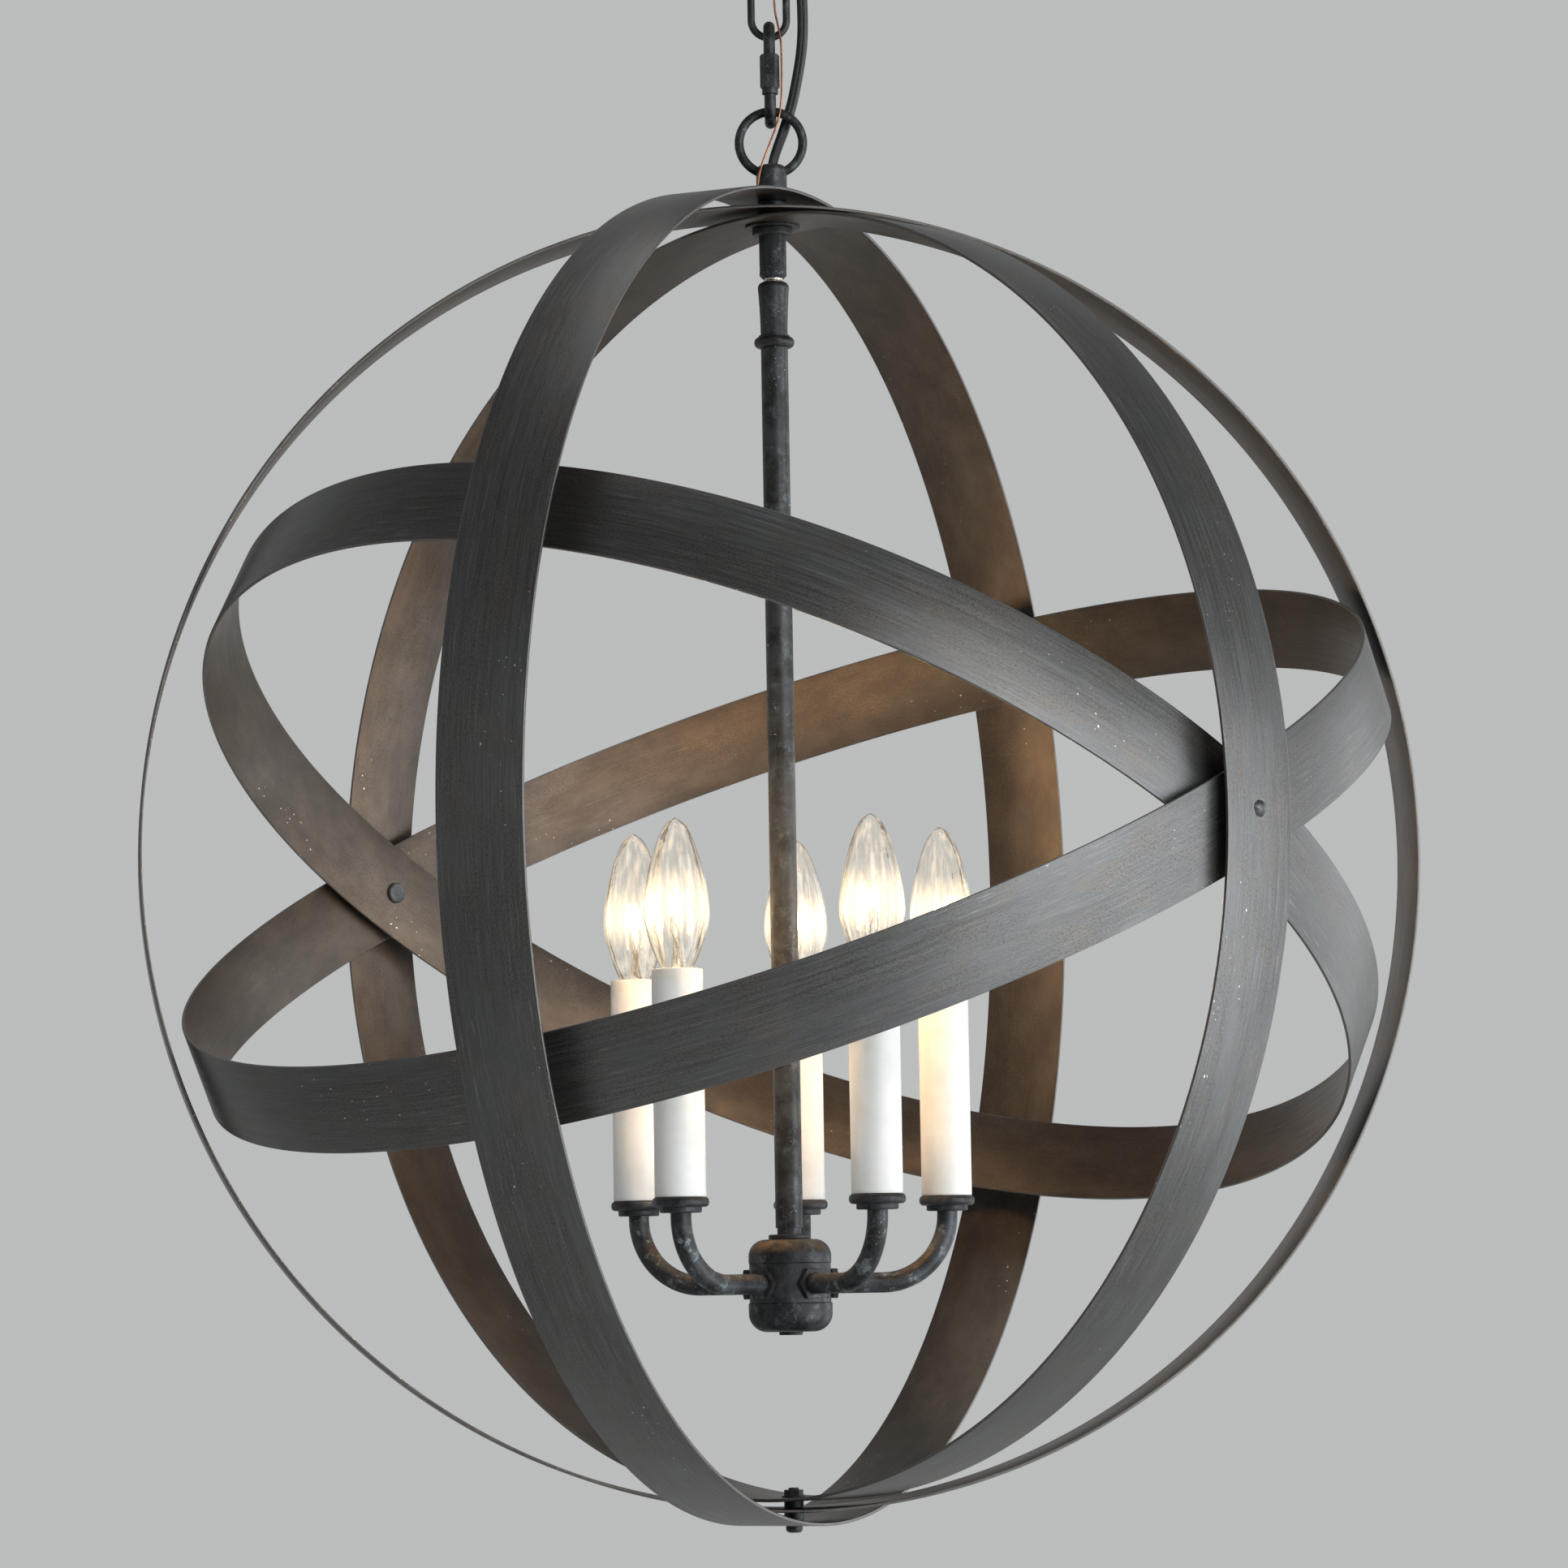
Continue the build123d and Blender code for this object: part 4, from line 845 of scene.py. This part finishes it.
def turned(outline, steps):
    """Solid of revolution about Z of a closed outline of (radius, height)."""
    shape = bmesh.new()
    turns = [(cos(2 * pi * i / steps), sin(2 * pi * i / steps)) for i in range(steps)]
    rings = [[shape.verts.new((r * x, r * y, z)) for x, y in turns] for r, z in outline]
    for low, high in zip(rings, rings[1:] + rings[:1]):
        for i in range(steps):
            k = (i + 1) % steps
            shape.faces.new((low[i], low[k], high[k], high[i])).smooth = True
    bmesh.ops.remove_doubles(shape, verts=shape.verts, dist=1e-7)
    bmesh.ops.recalc_face_normals(shape, faces=shape.faces)
    return shape


def candle_place(number):
    """From an upright candle on the origin to where it stands."""
    turn = Matrix.Rotation(radians(FIRST_HEADING + 72 * (number - 1)), 4, "Z")
    return turn @ Matrix.Translation((CANDLE_REACH, 0, 0))


satin = {"Subsurface Weight": 0.12, "Subsurface Radius": (1.0, 0.8, 0.6), "Subsurface Scale": 0.002}
made, tree, shader = new_finish("candle_white", 0.36, fixed=satin)
place = body_place(tree)
height = add(tree, "ShaderNodeSeparateXYZ", {0: place}).outputs["Z"]
mottle = grain(tree, place, 55.0, 4.0)
colour = tint(tree, span(tree, mottle, 0.4, 0.68), (0.86, 0.855, 0.83), (0.80, 0.79, 0.75))
# Grime gathers at the foot, and the heat has yellowed the lip.
foot, lip = span(tree, height, -0.652, -0.6545), span(tree, height, -0.556, -0.548)
grime = times(tree, foot, span(tree, grain(tree, place, 300.0, 3.0), 0.35, 0.6))
colour = tint(tree, times(tree, grime, 0.4), colour, (0.35, 0.31, 0.25))
toast = times(tree, lip, span(tree, mottle, 0.3, 0.6, 0.3, 1.0))
colour = tint(tree, times(tree, toast, 0.35), colour, (0.82, 0.72, 0.55))
paint(tree, shader, colour, span(tree, mottle, 0.3, 0.7, 0.3, 0.44))
relief(tree, shader, grain(tree, stretched(tree, place, (400, 400, 60)), 1.0, 3.0), 0.00004)
candle = made

for i in range(1, 6):
    low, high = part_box(f"candle_sleeve_{i}")
    r, w = SLEEVE_RADIUS, SLEEVE_WALL
    outline = [
        (r - w, low.z),
        (r - 0.0003, low.z),
        (r, low.z + 0.0003),
        (r, low.z + 0.0353),
        (r, low.z + 0.0707),
        (r, high.z - 0.0005),
        (r - 0.00015, high.z - 0.00015),
        (r - 0.0005, high.z),
        (r - w + 0.0002, high.z - 0.0001),
        (r - w, high.z - 0.0004),
    ]
    sleeve = as_piece(f"candle_tube_{i}", turned(outline, 72), candle)
    sleeve.data.transform(candle_place(i))
    sleeve.data.set_sharp_from_angle(angle=radians(50))
    stand_in(sleeve, f"candle_sleeve_{i}", "cluster")

made, tree, shader = new_finish("socket_white", 0.3)
place = body_place(tree)
yellowed = span(tree, grain(tree, place, 200.0, 4.0), 0.4, 0.7)
paint(tree, shader, tint(tree, yellowed, (0.80, 0.79, 0.74), (0.66, 0.62, 0.52)))
relief(tree, shader, grain(tree, place, 500.0, 3.0), 0.00004)
eased("sockets", made, "cluster", 0.0002)

# ---- Bulbs -----------------------------------------------------------
# Clear torpedo bulbs, lit: thin blown glass with eight shallow flutes and a painted glow, a brass screw
# base, and a coiled filament on two lead wires from a glass stem.

LIP_Z = -0.54735  # top of the candle sleeves
BASE_TOP = LIP_Z - 0.0016
BULB_HEIGHT = 0.071  # above the lip
BULB_OUTLINE = [
    (0.00585, -0.0016),
    (0.00815, 0.0012),
    (0.01349, 0.0151),
    (0.0155, 0.029),
    (0.01194, 0.050),
    (0.006, 0.0656),
    (0.0, BULB_HEIGHT),
]
FLUTES = 8
FLUTE_DEPTH = 0.0009
GLASS_WALL = 0.0008
FILAMENT_RADIUS = 0.0030  # of the crown that the filament goes round
FILAMENT_HEIGHT = 0.0300  # of its middle above the lip
FILAMENT_RISE = 0.0042  # from its middle to its points
COIL_TURNS = 70
COIL_RADIUS = 0.00055
WIRE_RADIUS = 0.0002  # of filament and leads


def rounded_way(points, steps):
    """Smooth line through points (radius, height)."""
    ends = [points[0]] + points + [points[-1]]
    line = []
    for four in zip(ends, ends[1:], ends[2:], ends[3:]):
        for i in range(steps):
            t = i / steps
            spot = []
            for p, q, s, u in zip(*four):
                bend = (2 * p - 5 * q + 4 * s - u) * t * t + (3 * q - p - 3 * s + u) * t**3
                spot.append(0.5 * (2 * q + (s - p) * t + bend))
            line.append(tuple(spot))
    return line + [points[-1]]


def blown_glass():
    """Fluted glass with an outside and an inside, open at the neck."""
    way = rounded_way(BULB_OUTLINE, 7)
    steps = 96
    shape = bmesh.new()
    walls = []
    for inset in (0.0, GLASS_WALL):
        rings = []
        for r, z in way:
            # The flutes fade out towards the neck and the tip.
            share = min(max(z / 0.014, 0), 1) * min(max((0.066 - z) / 0.02, 0), 1)
            height = LIP_Z + min(z, BULB_HEIGHT - inset)
            ring = []
            for i in range(steps):
                a = 2 * pi * i / steps
                dip = FLUTE_DEPTH * share * (0.5 - 0.5 * cos(FLUTES * a))
                reach = max(r - dip - inset, 0.0)
                ring.append(shape.verts.new((reach * cos(a), reach * sin(a), height)))
            rings.append(ring)
        for low, high in zip(rings, rings[1:]):
            for i in range(steps):
                k = (i + 1) % steps
                corners = (low[i], low[k], high[k], high[i])
                shape.faces.new(corners if inset == 0 else corners[::-1]).smooth = True
        walls.append(rings[0])
    for i in range(steps):
        k = (i + 1) % steps
        shape.faces.new((walls[0][k], walls[0][i], walls[1][i], walls[1][k]))
    bmesh.ops.remove_doubles(shape, verts=shape.verts, dist=1e-7)
    return shape


# The emission colour is the warm tint of the painted glow in the glass.
clear = {"IOR": 1.45, "Transmission Weight": 1.0, "Emission Color": (1.0, 0.77, 0.47, 1)}
made, tree, shader = new_finish("bulb_glass", 0.03, 0.0, (0.99, 0.98, 0.96), clear)
place = body_place(tree)
height = add(tree, "ShaderNodeSeparateXYZ", {0: place}).outputs["Z"]
streaks = grain(tree, stretched(tree, place, (420, 420, 16)), 1.0, 3.0)
# The glass is given a painted glow, standing in for the filament's light scattered in it: strongest beside
# the filament and fading above and below, with a faint painted haze along the streaks all over.
below = span(tree, height, LIP_Z + 0.012, LIP_Z + 0.029)
painted_glow = times(tree, below, span(tree, height, LIP_Z + 0.050, LIP_Z + 0.031))
painted_glow = times(tree, painted_glow, span(tree, streaks, 0.3, 0.7, 0.12, 0.28))
painted_glow = sums(tree, "ADD", painted_glow, span(tree, streaks, 0.50, 0.66, 0.02, 0.15))
tree.links.new(painted_glow, shader.inputs["Emission Strength"])
tree.links.new(span(tree, streaks, 0.45, 0.8, 0.01, 0.09), shader.inputs["Roughness"])
relief(tree, shader, grain(tree, place, 140.0, 2.0), 0.0002)
# For shadows light goes straight through, so that the glass casts next to none.
way_through = first(tree, "ShaderNodeBsdfTransparent", {"Color": (0.96, 0.955, 0.94, 1)})
shadow = add(tree, "ShaderNodeLightPath").outputs["Is Shadow Ray"]
both = first(tree, "ShaderNodeMixShader", {0: shadow, 1: shader.outputs[0], 2: way_through})
tree.links.new(both, tree.nodes["Material Output"].inputs["Surface"])
glass = made

made, tree, shader = new_finish("base_brass", 0.3, 1.0)
stain = grain(tree, body_place(tree), 260.0, 4.0, 0.6)
colour = tint(tree, span(tree, stain, 0.4, 0.7), (0.78, 0.62, 0.34), (0.5, 0.36, 0.17))
paint(tree, shader, colour, span(tree, stain, 0.3, 0.7, 0.22, 0.45))
brass = made

lit = {"Emission Color": (1.0, 0.66, 0.34, 1)}
made, tree, shader = new_finish("filament_lit", 0.6, 0.0, (0.9, 0.8, 0.6), lit)
flicker = grain(tree, body_place(tree), 900.0, 2.0)
tree.links.new(span(tree, flicker, 0.2, 0.8, 800.0, 1000.0), shader.inputs["Emission Strength"])
filament_lit = made

made, tree, shader = new_finish("lead_wire", 0.3, 1.0)
dull = span(tree, grain(tree, body_place(tree), 500.0, 3.0), 0.4, 0.7)
paint(tree, shader, tint(tree, dull, (0.6, 0.57, 0.5), (0.4, 0.37, 0.3)))
lead_metal = made


def screw_base():
    """Brass shell with rounded thread ridges, and a narrow contact below."""
    low, high = BASE_TOP - 0.0210, BASE_TOP
    outline = [(0.0, low), (0.0030, low), (0.0045, low + 0.0006), (0.0052, low + 0.0015)]
    for i in range(33):
        t = i / 32
        outline.append((0.0055 + 0.00032 * cos(2 * pi * 5 * t), low + 0.0021 + t * 0.0155))
    outline += [(0.0053, high - 0.0026), (0.00575, high - 0.0016), (0.00575, high - 0.0002)]
    outline += [(0.0054, high), (0.0, high)]
    return turned(outline, 48)


def glass_stem():
    """Glass stem, flared at its foot, that holds the leads."""
    outline = [(0.0, 0.0), (0.0034, 0.0), (0.0030, 0.004), (0.0018, 0.010), (0.0017, 0.0145)]
    outline += [(0.0010, 0.016), (0.0, 0.0162)]
    return turned([(r, BASE_TOP + z) for r, z in outline], 32)


def filament_line():
    """Middle line of the coiled filament: a crown of four tall points between the leads."""
    points = []
    for i in range(121):
        a = 0.12 + (2 * pi - 0.24) * i / 120
        z = LIP_Z + FILAMENT_HEIGHT + FILAMENT_RISE * cos(4 * a + pi)
        points.append(Vector((FILAMENT_RADIUS * cos(a), FILAMENT_RADIUS * sin(a), z)))
    return points


def coil(points, turns, radius):
    """Helix of that many turns round a line."""
    count = turns * 8
    line = []
    for i in range(count + 1):
        t = i / count * (len(points) - 1)
        k = min(int(t), len(points) - 2)
        middle = points[k].lerp(points[k + 1], t - k)
        run = (points[k + 1] - points[k]).normalized()
        side = Vector((middle.x, middle.y, 0))
        side = (side - run * run.dot(side)).normalized()
        a = 2 * pi * turns * i / count
        line.append(middle + radius * (cos(a) * side + sin(a) * run.cross(side)))
    return line


def outward(point):
    """The way from the bulb's axis to a point."""
    return Vector((point.x, point.y, 0.0001))


def lead_path(side, tip):
    """From the glass stem up to one end of the filament."""
    return [
        Vector((0, 0.0011 * side, BASE_TOP + 0.006)),
        Vector((0, 0.0013 * side, BASE_TOP + 0.015)),
        Vector((0.0016, 0.0022 * side, BASE_TOP + 0.020)),
        Vector((tip.x, tip.y + 0.0003 * side, tip.z - 0.003)),
        Vector((tip.x, tip.y, tip.z + 0.0004)),
    ]


for i in range(1, 6):
    bulb = f"bulb_{i}"
    line = filament_line()
    envelope = as_piece(f"bulb_glass_{i}", blown_glass(), glass)
    base = as_piece(f"bulb_base_{i}", screw_base(), brass)
    base.data.set_sharp_from_angle(angle=radians(45))
    stem = as_piece(f"bulb_stem_{i}", glass_stem(), glass)
    coiled, wire = coil(line, COIL_TURNS, COIL_RADIUS), ringed(WIRE_RADIUS, 6)
    filament = swept(f"bulb_filament_{i}", coiled, wire, outward, filament_lit)
    pieces = [envelope, base, stem, filament]
    for letter, side, tip in (("b", 1, line[0]), ("a", -1, line[-1])):
        path, wire = lead_path(side, tip), ringed(WIRE_RADIUS, 8)
        pieces.append(swept(f"bulb_lead_{i}_{letter}", path, wire, to_the_right, lead_metal))
    for piece in pieces:
        piece.data.transform(candle_place(i))
        stand_in(piece, bulb, bulb)

# ---- Room ------------------------------------------------------------
# Plain pale floor far below and an even pale surround. Cool light from a broad
# window on the right and a smaller one behind it, a soft light from the front
# right, and a wide one from above.

FLOOR_Z = -2.4

made, tree, shader = new_finish("floor_pale", 0.8)
cloud = grain(tree, body_place(tree), 0.8, 3.0)
paint(tree, shader, tint(tree, cloud, (0.61, 0.61, 0.60), (0.65, 0.65, 0.64)))
shape = bmesh.new()
bmesh.ops.create_circle(shape, cap_ends=True, cap_tris=False, segments=64, radius=30.0)
ground = as_piece("floor", shape, made)
ground.data.transform(Matrix.Translation((0, 0, FLOOR_Z)))

surround = bpy.data.worlds.new("surround")
bpy.context.scene.world = surround
surround.use_nodes = True
tree = surround.node_tree
# Overhead it looks darker, but only in reflections.
toward = add(tree, "ShaderNodeTexCoord").outputs["Generated"]
overhead = span(tree, add(tree, "ShaderNodeSeparateXYZ", {0: toward}).outputs["Z"], 0.10, 0.85)
overhead = times(tree, overhead, add(tree, "ShaderNodeLightPath").outputs["Is Glossy Ray"])
around = tint(tree, overhead, (0.50, 0.51, 0.51), (0.15, 0.15, 0.155))
tree.links.new(around, tree.nodes["Background"].inputs["Color"])


def soft_light(name, where, aim, size, power, colour):
    """A lamp of that size. Neither the camera nor the view through glass shows it."""
    lamp = bpy.data.lights.new(name, "AREA")
    lamp.shape = "RECTANGLE"
    lamp.size, lamp.size_y = size
    lamp.energy = power
    lamp.color = colour
    holder = in_scene(name, lamp)
    holder.location = where
    holder.visible_camera = False
    holder.visible_transmission = False
    holder.rotation_mode = "QUATERNION"
    holder.rotation_quaternion = (Vector(aim) - Vector(where)).to_track_quat("-Z", "Y")


soft_light("window_right", (2.3, -1.2, -0.9), (0, 0, -0.49), (3.4, 2.6), 104.0, (0.91, 0.955, 1.0))
soft_light("window_back", (2.2, 1.3, -0.8), (0, 0, -0.49), (1.5, 2.2), 19.0, (0.92, 0.96, 1.0))
soft_light("fill_front", (1.7, -2.3, 0.5), (0, 0, -0.5), (1.4, 1.4), 26.0, (1.0, 0.985, 0.96))
soft_light("fill_top", (0.2, 0.6, 3.2), (0, 0, FLOOR_Z), (2.8, 2.8), 36.0, (1.0, 0.99, 0.97))
